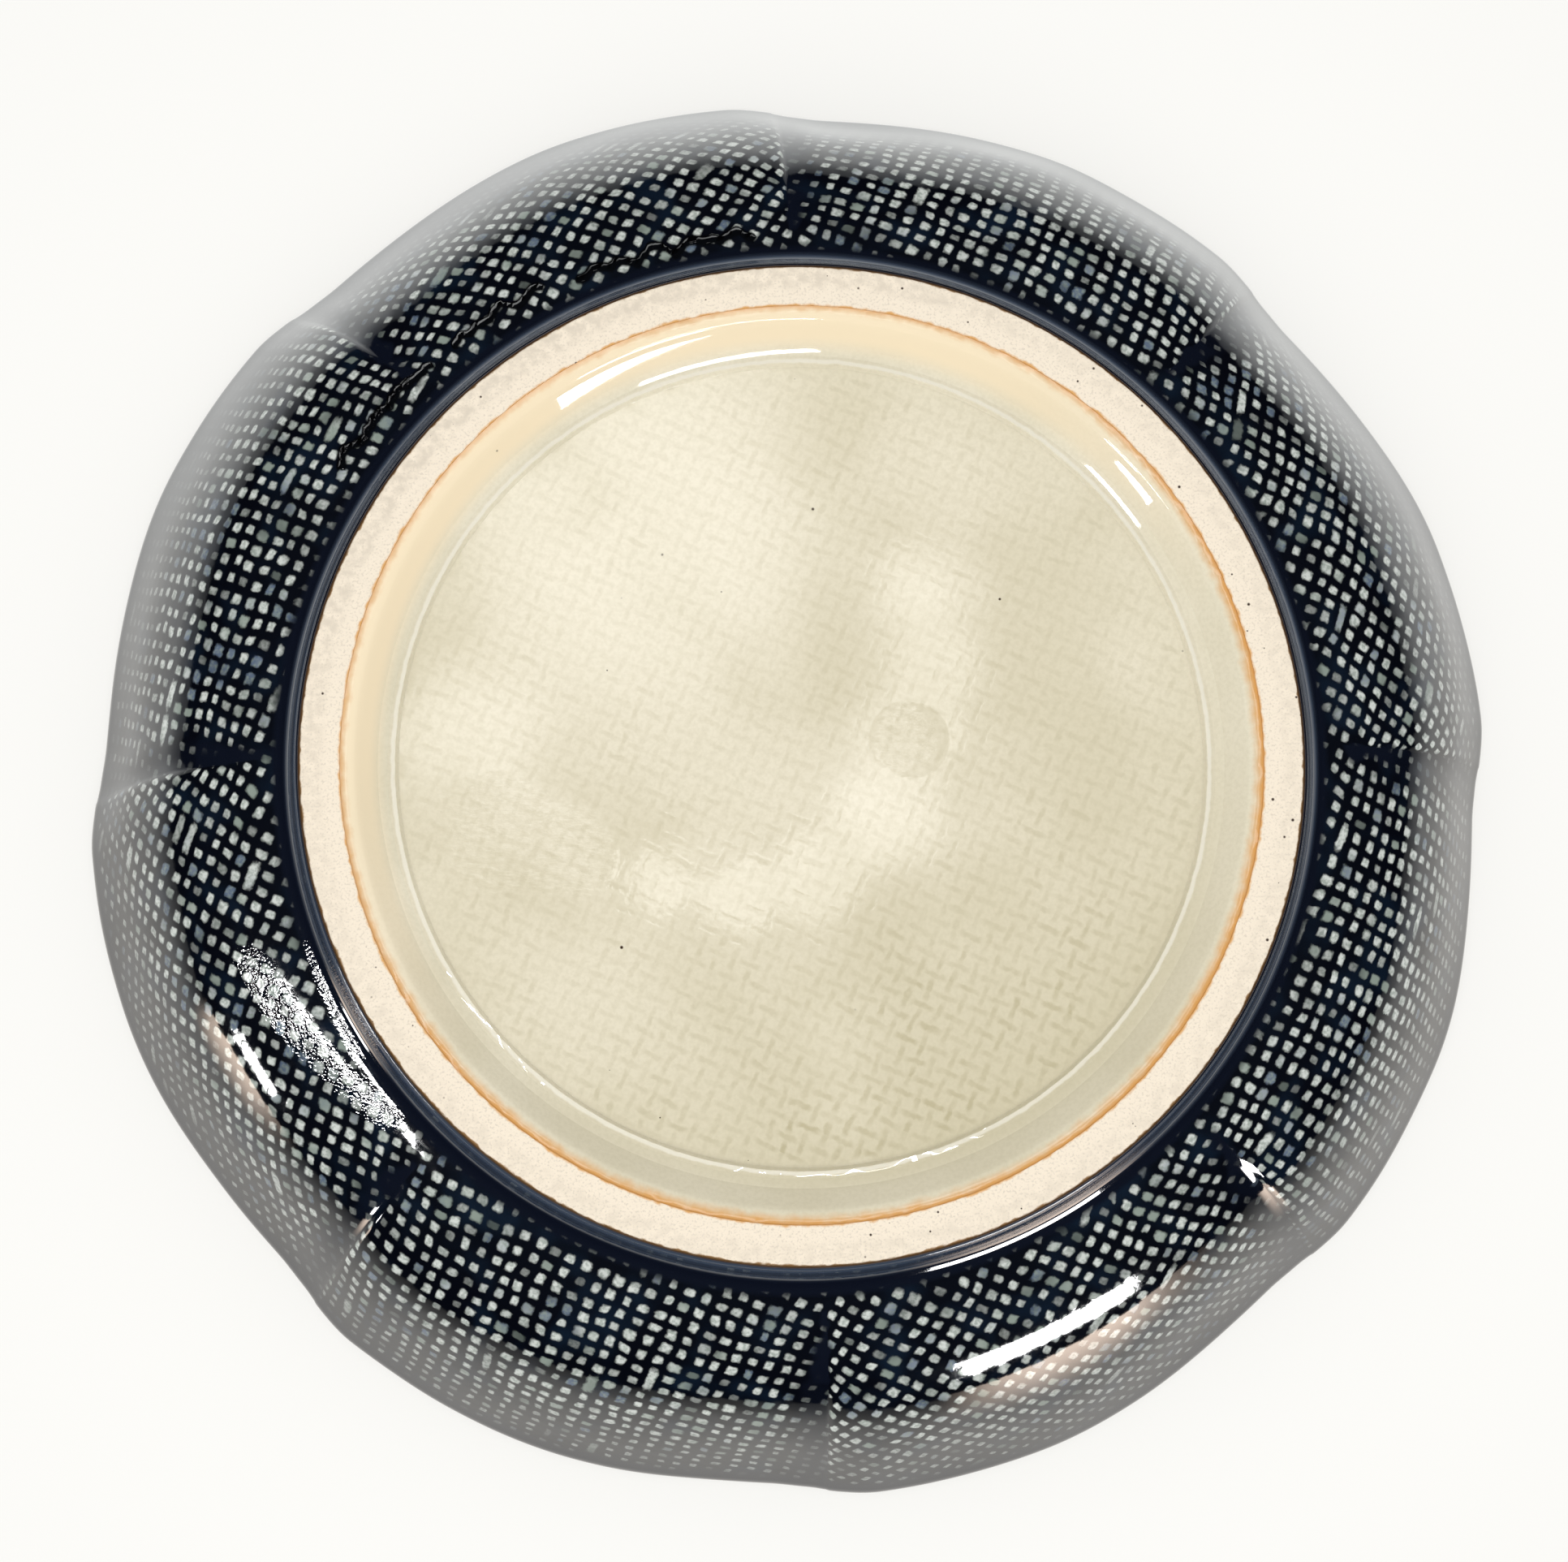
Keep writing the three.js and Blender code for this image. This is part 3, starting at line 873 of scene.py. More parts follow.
def indigo_glaze(sizes, paints):
    """Indigo glaze, pale where it is thin over the raised cloth marks."""
    material, tree, shader, where = new_material("marked_glaze")
    cloth = add_node(tree, "ShaderNodeUVMap", uv_map="cloth").outputs["UV"]
    mark = attribute(tree, "mark")
    size = ease(tree, mark, 0.4, 1.0, 0.21, 0.275)
    marks = use_group(tree, "Cloth marks", {"Cloth": cloth, "Size": size})
    thin = attribute(tree, "thin")
    broad = cloud(tree, where, 7 * MM)
    fine = cloud(tree, where, 0.5 * MM, detail=4.0)
    ground = between(tree, ease(tree, broad, 0.45, 0.8, 0.0, 0.7), paints.navy, paints.ink)
    green_chance = calc(tree, "MULTIPLY_ADD", broad, 0.5, marks["Chance"])
    tone = between(tree, ease(tree, green_chance, 1.02, 1.25), paints.mark, paints.mark_green)
    blue_chance = plus(tree, marks["Hue"], cloud(tree, where, 16 * MM))
    tone = between(tree, ease(tree, blue_chance, 1.3, 1.5), tone, paints.mark_blue)
    tone = between(tree, ease(tree, fine, 0.38, 0.68, 0.0, 0.75), tone, paints.mark_green)
    faint = ease(tree, marks["Hue"], 0.0, 0.22, 0.35, 1.0)
    patchy = ease(tree, cloud(tree, where, 4.5 * MM), 0.3, 0.55, 0.55, 1.0)
    seam = attribute(tree, "seam")
    rolled = ease(tree, seam, 1.0, 0.5)
    shown = times(tree, marks["Dot"], mark, faint, patchy, calc(tree, "SUBTRACT", 1.0, rolled))
    radius, heights = radius_of(tree, where)
    on_foot = ease(tree, radius, sizes.rings_end + 1.0 * MM, sizes.rings_end)
    ground = between(tree, ease(tree, mark, 0.5, 0.0), ground, paints.foot_blue)
    ring_inputs = {"W": radius, "Scale": 1 / (0.5 * MM)}
    rings = add_node(tree, "ShaderNodeTexNoise", ring_inputs, noise_dimensions="1D").outputs["Fac"]
    # Painted reflection: a streaked pale band on the foot, further out on one side, where a reflection would
    # lie
    painted_sheen_side = towards(tree, where, radius, PAINTED_SHEEN_SIDE)
    band = calc(tree, "MULTIPLY_ADD", painted_sheen_side, -sizes.sheen_shift, radius)
    begun = ease(tree, band, sizes.sheen_start, sizes.sheen_start + 0.4 * MM)
    not_ended = ease(tree, band, sizes.sheen_end, sizes.sheen_end - 1.0 * MM)
    streaked = ease(tree, rings, 0.3, 0.7, 0.3, 1.0)
    ground = between(tree, times(tree, begun, not_ended, streaked), ground, paints.painted_foot_sheen)
    ground = between(tree, rolled, ground, (0.0, 0.0, 0.0))
    colour = between(tree, shown, ground, tone)
    colour = between(tree, thin, colour, paints.brown)
    tree.links.new(colour, shader.inputs["Base Color"])
    gloss = ease(tree, fine, 0.2, 0.8, 0.035, 0.07)
    matt_lip = ease(tree, heights, sizes.height - 1.8 * MM, sizes.height - 0.9 * MM, 0.0, 0.4)
    tree.links.new(plus(tree, gloss, matt_lip), shader.inputs["Roughness"])
    shader.inputs["IOR"].default_value = 1.85
    pits = cloud(tree, where, 0.36 * MM, detail=1.0)
    height = plus(
        tree,
        times(tree, rings, on_foot),
        times(tree, shown, MARK_HEIGHT),
        ease(tree, seam, 0.5, 0.0, 0.0, SEAM_HEIGHT),
        times(tree, pits, attribute(tree, "pitted"), PIT_HEIGHT),
        times(tree, fine, GRAIN_HEIGHT),
    )
    bump(tree, shader, height, distance=0.03 * MM, strength=0.6)
    return material


def pale_glaze(name, sizes, paints, in_well):
    """Cream glaze pooling to celadon. In the well: cloth marks, the kiln's flash, and painted light and
    shade.
    """
    material, tree, shader, where = new_material(name)
    radius, height = radius_of(tree, where)
    broad = cloud(tree, where, 22 * MM)
    fine = cloud(tree, where, 0.5 * MM, detail=3.0)
    colour = between(tree, ease(tree, broad, 0.35, 0.75, 0.0, 0.55), paints.cream, paints.celadon)
    relief = times(tree, fine, PALE_GRAIN_HEIGHT)
    cloth = add_node(tree, "ShaderNodeUVMap", uv_map="cloth").outputs["UV"]
    marks = use_group(tree, "Cloth marks", {"Cloth": cloth})
    if in_well:
        flat = ease(tree, radius, sizes.base_radius, sizes.base_radius - 1.5 * MM)
        patchy = ease(tree, cloud(tree, where, 9 * MM), 0.3, 0.7, 0.55, 1.0)
        broken = ease(tree, cloud(tree, where, 1.4 * MM), 0.3, 0.6, 0.55, 1.0)
        dash = times(tree, marks["Dash"], flat, patchy, broken)
        crinkle = cloud(tree, vector_calc(tree, "MULTIPLY", where, (0.7, 1.5, 1.0)), 1.3 * MM, detail=3.0)
        for across, along, reach in BASE_WRINKLES:
            away = vector_calc(tree, "DISTANCE", where, (across * MM, along * MM, sizes.well_depth))
            wrinkled = ease(tree, away, reach * MM, 0.6 * reach * MM, 0.0, WRINKLE_HEIGHT)
            relief = plus(tree, relief, times(tree, crinkle, wrinkled))
        relief = calc(tree, "SUBTRACT", relief, times(tree, dash, THREAD_DEPTH))
        # Painted shade: darker, greener glaze towards one side of the base, less on the cove, with stronger
        # thread lines there
        shade = ease(tree, vector_calc(tree, "DOT_PRODUCT", where, SHADED_SIDE), 0.0, 58 * MM, 0.0, 0.9)
        on_cove = ease(tree, radius, sizes.seat_radius, sizes.seat_radius + 2.5 * MM)
        shade = times(tree, shade, calc(tree, "MULTIPLY_ADD", on_cove, -0.6, 1.0))
        colour = between(tree, shade, colour, paints.celadon)
        dash = times(tree, dash, ease(tree, shade, 0.0, 0.85, 0.35, 1.0))
        colour = between(tree, dash, colour, paints.thread)
        colour = between(tree, ease(tree, fine, 0.35, 0.7, 0.0, 0.16), colour, paints.thread)
        # Kiln flash and painted light: the cove is painted peach and brighter on the side that faces the
        # windows
        flash = ease(tree, towards(tree, where, radius, KILN_SIDE), -0.3, 0.7)
        colour = between(tree, times(tree, flash, on_cove), colour, paints.peach)
        ragged = calc(tree, "MULTIPLY_ADD", cloud(tree, where, 1.6 * MM, detail=4.0), 1.2 * MM, -0.6 * MM)
        edge = plus(tree, radius, ragged)
        bead = plus(tree, radius, times(tree, ragged, 0.35))
        off_bead = calc(tree, "ABSOLUTE", calc(tree, "SUBTRACT", bead, sizes.bead_radius))
        colour = between(tree, ease(tree, off_bead, 0.4 * MM, 0.1 * MM, 0.0, 0.65), colour, paints.slip)
        rust_start = calc(tree, "MULTIPLY_ADD", flash, 0.7 * MM, sizes.cove_radius - 1.7 * MM)
        rust = ease(tree, edge, rust_start, sizes.cove_radius)
        rust = times(tree, rust, calc(tree, "MULTIPLY_ADD", flash, -0.35, 1.0))
        colour = between(tree, rust, colour, paints.orange)
    else:
        patchy = ease(tree, cloud(tree, where, 12 * MM), 0.35, 0.7, 0.15, 0.8)
        dash = times(tree, marks["Dash"], patchy)
        colour = between(tree, times(tree, dash, 0.4), colour, paints.celadon)
        relief = calc(tree, "SUBTRACT", relief, dash)
        lip = ease(tree, height, sizes.height - 0.9 * MM, sizes.height - 0.1 * MM)
        colour = between(tree, lip, colour, paints.brown)
    colour = add_specks(tree, where, colour, paints, span=6 * MM, radius=0.045)
    tree.links.new(colour, shader.inputs["Base Color"])
    tree.links.new(ease(tree, fine, 0.2, 0.8, 0.012, 0.04), shader.inputs["Roughness"])
    bump(tree, shader, relief, distance=0.02 * MM, strength=0.5)
    return material


def bare_clay(sizes, paints):
    """Bare fired clay with a grey bloom and specks of iron."""
    material, tree, shader, where = new_material("bare_clay")
    radius, _ = radius_of(tree, where)
    bloom = cloud(tree, where, 1.3 * MM, detail=4.0)
    grain = cloud(tree, where, 0.3 * MM, detail=4.0)
    middle = calc(tree, "SUBTRACT", radius, sizes.cove_radius + 3.5 * MM)
    on_face = ease(tree, calc(tree, "ABSOLUTE", middle), 1.9 * MM, 0.6 * MM, 0.06, 0.5)
    flash = ease(tree, towards(tree, where, radius, KILN_SIDE), 0.3, 0.95)
    bloomed = times(tree, ease(tree, bloom, 0.3, 0.7), plus(tree, flash, 1.0), on_face)
    colour = between(tree, bloomed, paints.clay, paints.ash)
    colour = between(tree, ease(tree, grain, 0.5, 0.68, 0.0, 0.8), colour, paints.ash)
    ragged = calc(tree, "MULTIPLY_ADD", cloud(tree, where, 1.6 * MM, detail=4.0), 1.0 * MM, -0.5 * MM)
    edge = plus(tree, radius, ragged)
    inner = ease(tree, edge, sizes.cove_radius + 0.3 * MM, sizes.cove_radius - 0.1 * MM)
    colour = between(tree, inner, colour, paints.orange)
    outer = ease(tree, edge, sizes.foot_radius - 0.2 * MM, sizes.foot_radius + 0.05 * MM)
    colour = between(tree, outer, colour, paints.brown)
    colour = add_specks(tree, where, colour, paints, span=2.4 * MM, radius=0.09)
    tree.links.new(colour, shader.inputs["Base Color"])
    shader.inputs["Roughness"].default_value = 0.8
    bump(tree, shader, grain, distance=0.06 * MM, strength=0.5)
    return material


class BOWL_OT_clay_body(Operator):
    """Builds the clay bowl that the glazes cover"""

    bl_idname = "bowl.clay_body"
    bl_label = "Clay Bowl"

    def execute(self, context):
        sizes = context.scene.bowl_sizes
        wall = Wall(sizes)
        columns = 240
        outside = [wall.stop(run) for run in steps(0, wall.length, 24)]
        top = [wall.lip(turn) for turn in steps(0, math.pi, 8)[1:-1]]
        section = [Stop(0, sizes.well_depth)] + outside + top
        section += [wall.stop(run, wall.thickness(run)) for run in steps(wall.length, 0, 24)]
        section.append(Stop(0, section[-1].z))
        bm = turn_section(section, columns, closed=False)
        sink_petals(bm, sizes, columns, crowd=0.3)
        piece = finish_mesh(bm, "clay_bowl", bpy.data.materials["bare_clay"])
        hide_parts("bowl_body")
        return {"FINISHED"}


class BOWL_OT_foot_ring(Operator):
    """Builds the foot ring with its bare resting face"""

    bl_idname = "bowl.foot_ring"
    bl_label = "Foot Ring"

    def execute(self, context):
        sizes = context.scene.bowl_sizes
        wall = Wall(sizes)
        columns = 480
        worn = Stop(sizes.foot_radius - sizes.edge_wear, 0)
        edge = bend(worn, Stop(sizes.foot_radius, 0), Stop(sizes.foot_radius, sizes.edge_wear), 4)
        face = [Stop(r, 0, seen=1.0) for r in steps(sizes.cove_radius, worn.r, 12)]
        seat = [wall.stop(run, -sizes.slip_film) for run in steps(wall.fillet_run, wall.seat_run, 6)]
        section = face + edge[1:] + fillet_line(wall, sizes, 6) + seat + cove_line(wall, sizes, 6)
        bm = turn_section(section, columns, closed=True)
        seen = bm.verts.layers.float["seen"]
        for vert in bm.verts:
            if vert[seen] > 0:
                vert.co.z += 0.03 * MM * (noise.noise(vert.co / (2.5 * MM)) + 1)
        piece = finish_mesh(bm, "foot_ring_clay", bpy.data.materials["bare_clay"])
        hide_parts("foot_ring")
        return {"FINISHED"}


class BOWL_OT_luting_slip(Operator):
    """Builds the film and bead of slip between the ring and the bowl"""

    bl_idname = "bowl.luting_slip"
    bl_label = "Luting Slip"

    def execute(self, context):
        sizes = context.scene.bowl_sizes
        wall = Wall(sizes)
        columns = 240
        low = sizes.well_depth - sizes.bead_height
        bead = bend(
            Stop(sizes.base_radius, sizes.well_depth - sizes.fit),
            Stop(sizes.bead_radius, low - sizes.bead_height),
            Stop(sizes.seat_radius - sizes.fit, sizes.well_depth - sizes.slip_film),
            6,
        )
        under = sizes.fit - sizes.slip_film
        film = [wall.stop(run, under) for run in steps(wall.seat_run, wall.fillet_run, 6)]
        top = [wall.stop(run, -sizes.fit) for run in steps(wall.fillet_run, 0, 8)]
        bm = turn_section(bead + film + top[:-1], columns, closed=True)
        piece = finish_mesh(bm, "slip_bead", bpy.data.materials["bare_clay"])
        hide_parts("luting_slip")
        return {"FINISHED"}


class BOWL_OT_indigo_coat(Operator):
    """Builds the indigo coat with its petals, creases and cloth marks"""

    bl_idname = "bowl.indigo_coat"
    bl_label = "Indigo Coat"

    def execute(self, context):
        sizes = context.scene.bowl_sizes
        cloth = context.scene.bowl_cloth
        wall = Wall(sizes)
        columns = 960
        section = outer_section(wall, sizes, rows=68)
        bm = turn_section(section, columns, closed=True)
        sink_petals(bm, sizes, columns, crowd=0.2)
        self.press(bm, wall, sizes, cloth)
        lay_cloth(bm, cloth, sizes)
        piece = finish_mesh(bm, "indigo_coat", bpy.data.materials["marked_glaze"], COAT_LAYERS)
        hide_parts("outside_glaze")
        return {"FINISHED"}

    def press(self, bm, wall, sizes, cloth):
        """Presses the creases and the cloth into the coat, and notes where its marks show."""
        layers = bm.verts.layers
        run_layer, seen = layers.float["run"], layers.float["seen"]
        petal_layer, share_layer = layers.int["petal"], layers.float["share"]
        mark_layer, thin_layer, pitted_layer, seam_layer = [layers.float.new(name) for name in COAT_LAYERS]
        first = sizes.foot_radius + cloth.first_row
        last = sizes.base_radius + wall.length
        moves = []
        for vert in bm.verts:
            if vert[seen] == 0:
                continue
            run = vert[run_layer]
            petal, part = vert[petal_layer], vert[share_layer]
            climb = wall.climb(run - sizes.base_radius)
            radius = math.hypot(vert.co.x, vert.co.y)
            width = PETAL_WIDTHS[petal] * radius
            past = part * width
            before = (1 - part) * width
            above = run - first
            # Painted reflection haze: marks painted fainter towards the lip, most on the -Y side where the
            # glaze mirrors the brightest sky
            far_side = smooth(-vert.co.y / radius, -0.2, 0.5)
            mark = smooth(above, 0, cloth.pitch * 0.5)
            mark *= smooth(last - run, 0.7 * cloth.pitch, 1.8 * cloth.pitch)
            fade = smooth(climb, 0.42 - 0.06 * far_side, 1.0 - 0.12 * far_side)
            mark *= 1 - (0.6 + 0.34 * far_side) * fade
            mark *= 1 - self.bare_fold(petal, past, before, above, vert.co)
            mark *= 1 + 0.5 * smooth(above, 7 * MM, 10 * MM) * smooth(before, 1.4 * MM, 0.2 * MM)
            threads = cloth_at(cloth, sizes, petal, part, vert.co, run)
            turn = math.degrees(math.atan2(vert.co.y, vert.co.x)) % 360
            calm = max(smooth(abs(turn - middle), half, 0.5 * half) for middle, half in CALM_PLACES)
            rough = 0.6 - 0.45 * calm
            height = cloth.relief * rough * mark * thread_relief(threads)
            on_wall = smooth(climb, 0.0, 0.12)
            height += on_wall * cloth.swell * noise.noise(vert.co / cloth.swell_span)
            fold = smooth(climb, 0.04, 0.28) * (1 - 0.7 * smooth(climb, 0.4, 0.95))
            height -= fold * cloth.groove * math.exp(-(((past - 1.3 * MM) / (1.7 * MM)) ** 2))
            height += fold * 0.3 * cloth.groove * math.exp(-(((before - 0.9 * MM) / (1.2 * MM)) ** 2))
            vert[seam_layer] = self.seam(turn, above)
            height += 0.12 * MM * smooth(vert[seam_layer], 1.0, 0.2)
            moves.append((vert, vert.normal * height))
            vert[pitted_layer] = self.pitting(turn, radius)
            vert[mark_layer] = mark
            vert[thin_layer] = self.thinness(sizes, vert)
        for vert, move in moves:
            vert.co += move

    def bare_fold(self, petal, past, before, above, co):
        """How bare of marks a point is: bare in the ragged fold half-way up a crease, fainter above it."""
        near = min(past, before)
        crease = petal if past < before else (petal + 1) % PETALS
        width, start, end = (value * MM for value in FOLDS[crease])
        ragged = noise.noise(co / (1.7 * MM)) * 0.9 * MM + noise.noise(co / (5 * MM)) * 1.1 * MM
        if past < before:
            width *= 0.6 + 0.6 * smooth(above, start, end)
            inside = smooth(near + ragged, 1.15 * width, 0.25 * width)
            beside = smooth(near + ragged, 6.5 * MM, 2 * MM)
        else:
            inside = smooth(near + ragged, 0.9 * MM, 0)
            beside = 0.0
        bare = inside * smooth(above + ragged, start - 1.2 * MM, start + 1.2 * MM)
        bare *= smooth(above + ragged, end + 2 * MM, end - 1 * MM)
        faint = 0.75 * beside * smooth(above, end - 3 * MM, end)
        return max(bare, faint)

    def pitting(self, turn, radius):
        """How pitted the glaze is at an angle and a distance from the axis."""
        deepest = 0.0
        for middle, half, reach, climb, width in PITTED_PLACES:
            off = radius - (reach + climb * (turn - middle)) * MM
            along = smooth(abs(turn - middle), half, 0.8 * half)
            deepest = max(deepest, along * smooth(abs(off), width * MM, 0.5 * width * MM))
        return deepest

    def seam(self, turn, above):
        """Distance from the nearest rolled edge of the glaze, in millimetres."""
        nearest = 9.0
        for middle, half, level in ROLLED_EDGES:
            sway = noise.noise(Vector((turn / 2.2, 0.0, middle))) * 1.4
            sway += noise.noise(Vector((turn / 0.9, 5.0, middle))) * 0.5
            end = 5 * smooth(abs(turn - middle), 0.8 * half, half)
            nearest = min(nearest, abs(above / MM - level - sway) + end)
        return nearest

    def thinness(self, sizes, vert):
        """How brown the coat is where it thins out, at the foot's edge and on the crown of the lip."""
        reach = math.hypot(vert.co.x, vert.co.y) - sizes.foot_radius
        foot = 1 - smooth(reach, 0.08 * MM, 0.3 * MM)
        lip = smooth(vert.co.z, sizes.height - 0.5 * MM, sizes.height)
        return max(0.6 * foot, 0.6 * lip)


class BOWL_OT_inside_coat(Operator):
    """Builds the pale coat on the inside"""

    bl_idname = "bowl.inside_coat"
    bl_label = "Inside Coat"

    def execute(self, context):
        sizes = context.scene.bowl_sizes
        cloth = context.scene.bowl_cloth
        wall = Wall(sizes)
        columns = 480
        section = coat_section(inner_line(wall, sizes, rows=54), sizes, back_every=9)
        bm = turn_section(section, columns, closed=False)
        sink_petals(bm, sizes, columns, crowd=0.2)
        seen = bm.verts.layers.float["seen"]
        for vert in bm.verts:
            if vert[seen] > 0:
                swell = cloth.swell * 0.6 * noise.noise(vert.co / (cloth.swell_span * 1.4))
                vert.co += vert.normal * swell * smooth(sizes.height - vert.co.z, 0, 3 * MM)
        lay_cloth(bm, cloth, sizes)
        piece = finish_mesh(bm, "inside_coat", bpy.data.materials["inside_glaze"])
        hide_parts("inside_glaze")
        return {"FINISHED"}


class BOWL_OT_well_coat(Operator):
    """Builds the pale coat in the foot well, over the base, the bead and the ring's inner slope"""

    bl_idname = "bowl.well_coat"
    bl_label = "Well Coat"

    def execute(self, context):
        sizes = context.scene.bowl_sizes
        cloth = context.scene.bowl_cloth
        wall = Wall(sizes)
        columns = 480
        section = coat_section(well_line(wall, sizes, rows=98), sizes, back_every=16)
        bm = turn_section(section, columns, closed=False)
        sink_petals(bm, sizes, columns, crowd=0.0)
        run, seen = bm.verts.layers.float["run"], bm.verts.layers.float["seen"]
        for vert in bm.verts:
            if vert[seen] > 0:
                reach_out = math.hypot(vert.co.x, vert.co.y)
                flat = smooth(sizes.base_radius - vert[run], 0, 6 * MM)
                on_bead = smooth(abs(vert[run] - sizes.bead_radius), 0.8 * MM, 0)
                dent = -0.12 * MM * on_bead * noise.noise(vert.co / (1.6 * MM))
                dent += 0.012 * MM * flat * noise.noise(vert.co / (24 * MM))
                dent += 0.003 * MM * flat * noise.noise(vert.co / (7 * MM))
                for x, y, reach, depth in BASE_DENTS:
                    away = math.hypot(vert.co.x - x * MM, vert.co.y - y * MM) / (reach * MM)
                    dent += depth * MM * flat * smooth(away, 1.3, 0.5)
                near_edge = smooth(abs(reach_out - sizes.cove_radius + 0.7 * MM), 0.8 * MM, 0)
                dent -= 0.03 * MM * near_edge * noise.noise(vert.co / (1.1 * MM))
                vert.co.z += dent
        lay_cloth(bm, cloth, sizes)
        piece = finish_mesh(bm, "well_coat", bpy.data.materials["well_glaze"])
        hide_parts("foot_well_glaze")
        return {"FINISHED"}


class BOWL_OT_finishes(Operator):
    """Makes the materials of the clay and of the glazes"""

    bl_idname = "bowl.finishes"
    bl_label = "Clay and Glazes"

    def execute(self, context):
        sizes = context.scene.bowl_sizes
        paints = context.scene.bowl_paints
        make_cloth_group()
        make_speck_group()
        indigo_glaze(sizes, paints)
        pale_glaze("inside_glaze", sizes, paints, in_well=False)
        pale_glaze("well_glaze", sizes, paints, in_well=True)
        bare_clay(sizes, paints)
        return {"FINISHED"}


def way_to(azimuth, height):
    """A direction from the bowl, from degrees round its axis and above the level."""
    turn, lift = math.radians(azimuth), math.radians(height)
    return Vector((math.cos(turn) * math.cos(lift), math.sin(turn) * math.cos(lift), math.sin(lift)))


class BOWL_OT_stage(Operator):
    """Sets the pale table and floor, the soft light and the camera under the foot"""

    bl_idname = "bowl.stage"
    bl_label = "Stage"

    def execute(self, context):
        studio = context.scene.bowl_studio
        sizes = context.scene.bowl_sizes
        context.scene.view_settings.view_transform = "Standard"
        floor = self.table_surface("pale_floor", studio, *FLOOR_LOOK)
        table = self.table_surface("pale_table", studio, *TABLE_LOOK)
        self.plane("floor", studio, floor, 0.0, up=True)
        self.plane("table", studio, table, sizes.height, up=False)
        self.world(context.scene, studio)
        self.lamps(studio)
        self.camera(context.scene, studio)
        return {"FINISHED"}

    def table_surface(self, name, studio, matt_share, glows, reaches):
        """Shown to the camera only, and only on its front, so that light and the other side pass through.

        Its glow goes from the first value to the second between two distances from the bowl's axis.
        """
        material = bpy.data.materials.new(name)
        material.use_nodes = True
        tree = material.node_tree
        tree.nodes.remove(tree.nodes["Principled BSDF"])
        path = add_node(tree, "ShaderNodeLightPath").outputs["Is Camera Ray"]
        back = add_node(tree, "ShaderNodeNewGeometry").outputs["Backfacing"]
        shown = times(tree, path, calc(tree, "SUBTRACT", 1.0, back))
        clear = add_node(tree, "ShaderNodeBsdfTransparent").outputs[0]
        matt_colour = (matt_share, matt_share, matt_share * 0.98, 1.0)
        matt = add_node(tree, "ShaderNodeBsdfDiffuse", {"Color": matt_colour}).outputs[0]
        radius, _ = radius_of(tree, add_node(tree, "ShaderNodeTexCoord").outputs["Object"])
        strength = ease(tree, radius, *reaches, *glows)
        glow_inputs = {"Color": opaque(studio.table), "Strength": strength}
        glow = add_node(tree, "ShaderNodeEmission", glow_inputs).outputs[0]
        bright = add_node(tree, "ShaderNodeAddShader", {0: matt, 1: glow}).outputs[0]
        mixed = add_node(tree, "ShaderNodeMixShader", {0: shown, 1: clear, 2: bright}).outputs[0]
        tree.links.new(mixed, tree.nodes["Material Output"].inputs["Surface"])
        return material

    def plane(self, name, studio, surface, height, up):
        """A wide sheet at a height, facing up or down."""
        bm = bmesh.new()
        bmesh.ops.create_grid(bm, x_segments=1, y_segments=1, size=studio.table_half)
        if not up:
            bmesh.ops.reverse_faces(bm, faces=bm.faces)
        bmesh.ops.translate(bm, verts=bm.verts, vec=(0, 0, height))
        sheet = add_object(bm, name, surface)

    def world(self, scene, studio):
        """Even light, a white background, and for reflections a pale sky over dim light under the foot."""
        world = bpy.data.worlds.new("studio")
        world.use_nodes = True
        scene.world = world
        tree = world.node_tree
        back = tree.nodes["Background"]
        path = add_node(tree, "ShaderNodeLightPath").outputs
        way = add_node(tree, "ShaderNodeTexCoord").outputs["Generated"]
        parts = split(tree, way)
        up = parts["Z"]
        dim = between(tree, ease(tree, up, -0.1, -0.9), DIM_LEVEL, DIM_BELOW)
        slope = Vector(studio.eye) / studio.eye[2]
        for *base_place, core, light in BASE_LIGHTS:
            across, along, reach = (value / BASE_SEEN_FROM for value in base_place)
            middle = Vector((slope.x + across, slope.y + along, -1)).normalized()
            near = ease(tree, vector_calc(tree, "DISTANCE", way, middle), reach, reach * core)
            dim = between(tree, near, dim, (light, light, light))
        rises = [times(tree, parts["Y"], rise) for rise in (HORIZON_NEAR, HORIZON_FAR)]
        over = calc(tree, "SUBTRACT", up, plus(tree, calc(tree, "MAXIMUM", *rises), HORIZON))
        grey, white, bright = (
            between(tree, ease(tree, parts["Y"], start, end), far, near)
            for far, near, start, end in (SKY_GREY, SKY_WHITE, SKY_BRIGHT)
        )
        sheet = between(tree, ease(tree, over, 0.0, 0.35), grey, white)
        sheet = between(tree, ease(tree, over, 0.15, 0.6), sheet, bright)
        mirror = between(tree, ease(tree, over, -0.015, 0.025), dim, sheet)
        for azimuth, half, top, glow in SIDE_GLOWS:
            aside = calc(tree, "ABSOLUTE", vector_calc(tree, "DOT_PRODUCT", way, way_to(azimuth + 90, 0)))
            ahead = vector_calc(tree, "DOT_PRODUCT", way, way_to(azimuth, 0))
            near = times(tree, ease(tree, aside, half, 0.2 * half), ease(tree, ahead, 0.2, 0.5))
            level = times(tree, ease(tree, over, -0.05, -0.03), ease(tree, up, top, 0.0))
            mirror = between(tree, times(tree, near, level), mirror, glow)
        even = between(tree, ease(tree, up, -0.25, 0.25), EVEN_BELOW, EVEN_ABOVE)
        lit = between(tree, path["Is Glossy Ray"], even, mirror)
        shown = between(tree, path["Is Camera Ray"], lit, BACKDROP)
        tree.links.new(shown, back.inputs["Color"])

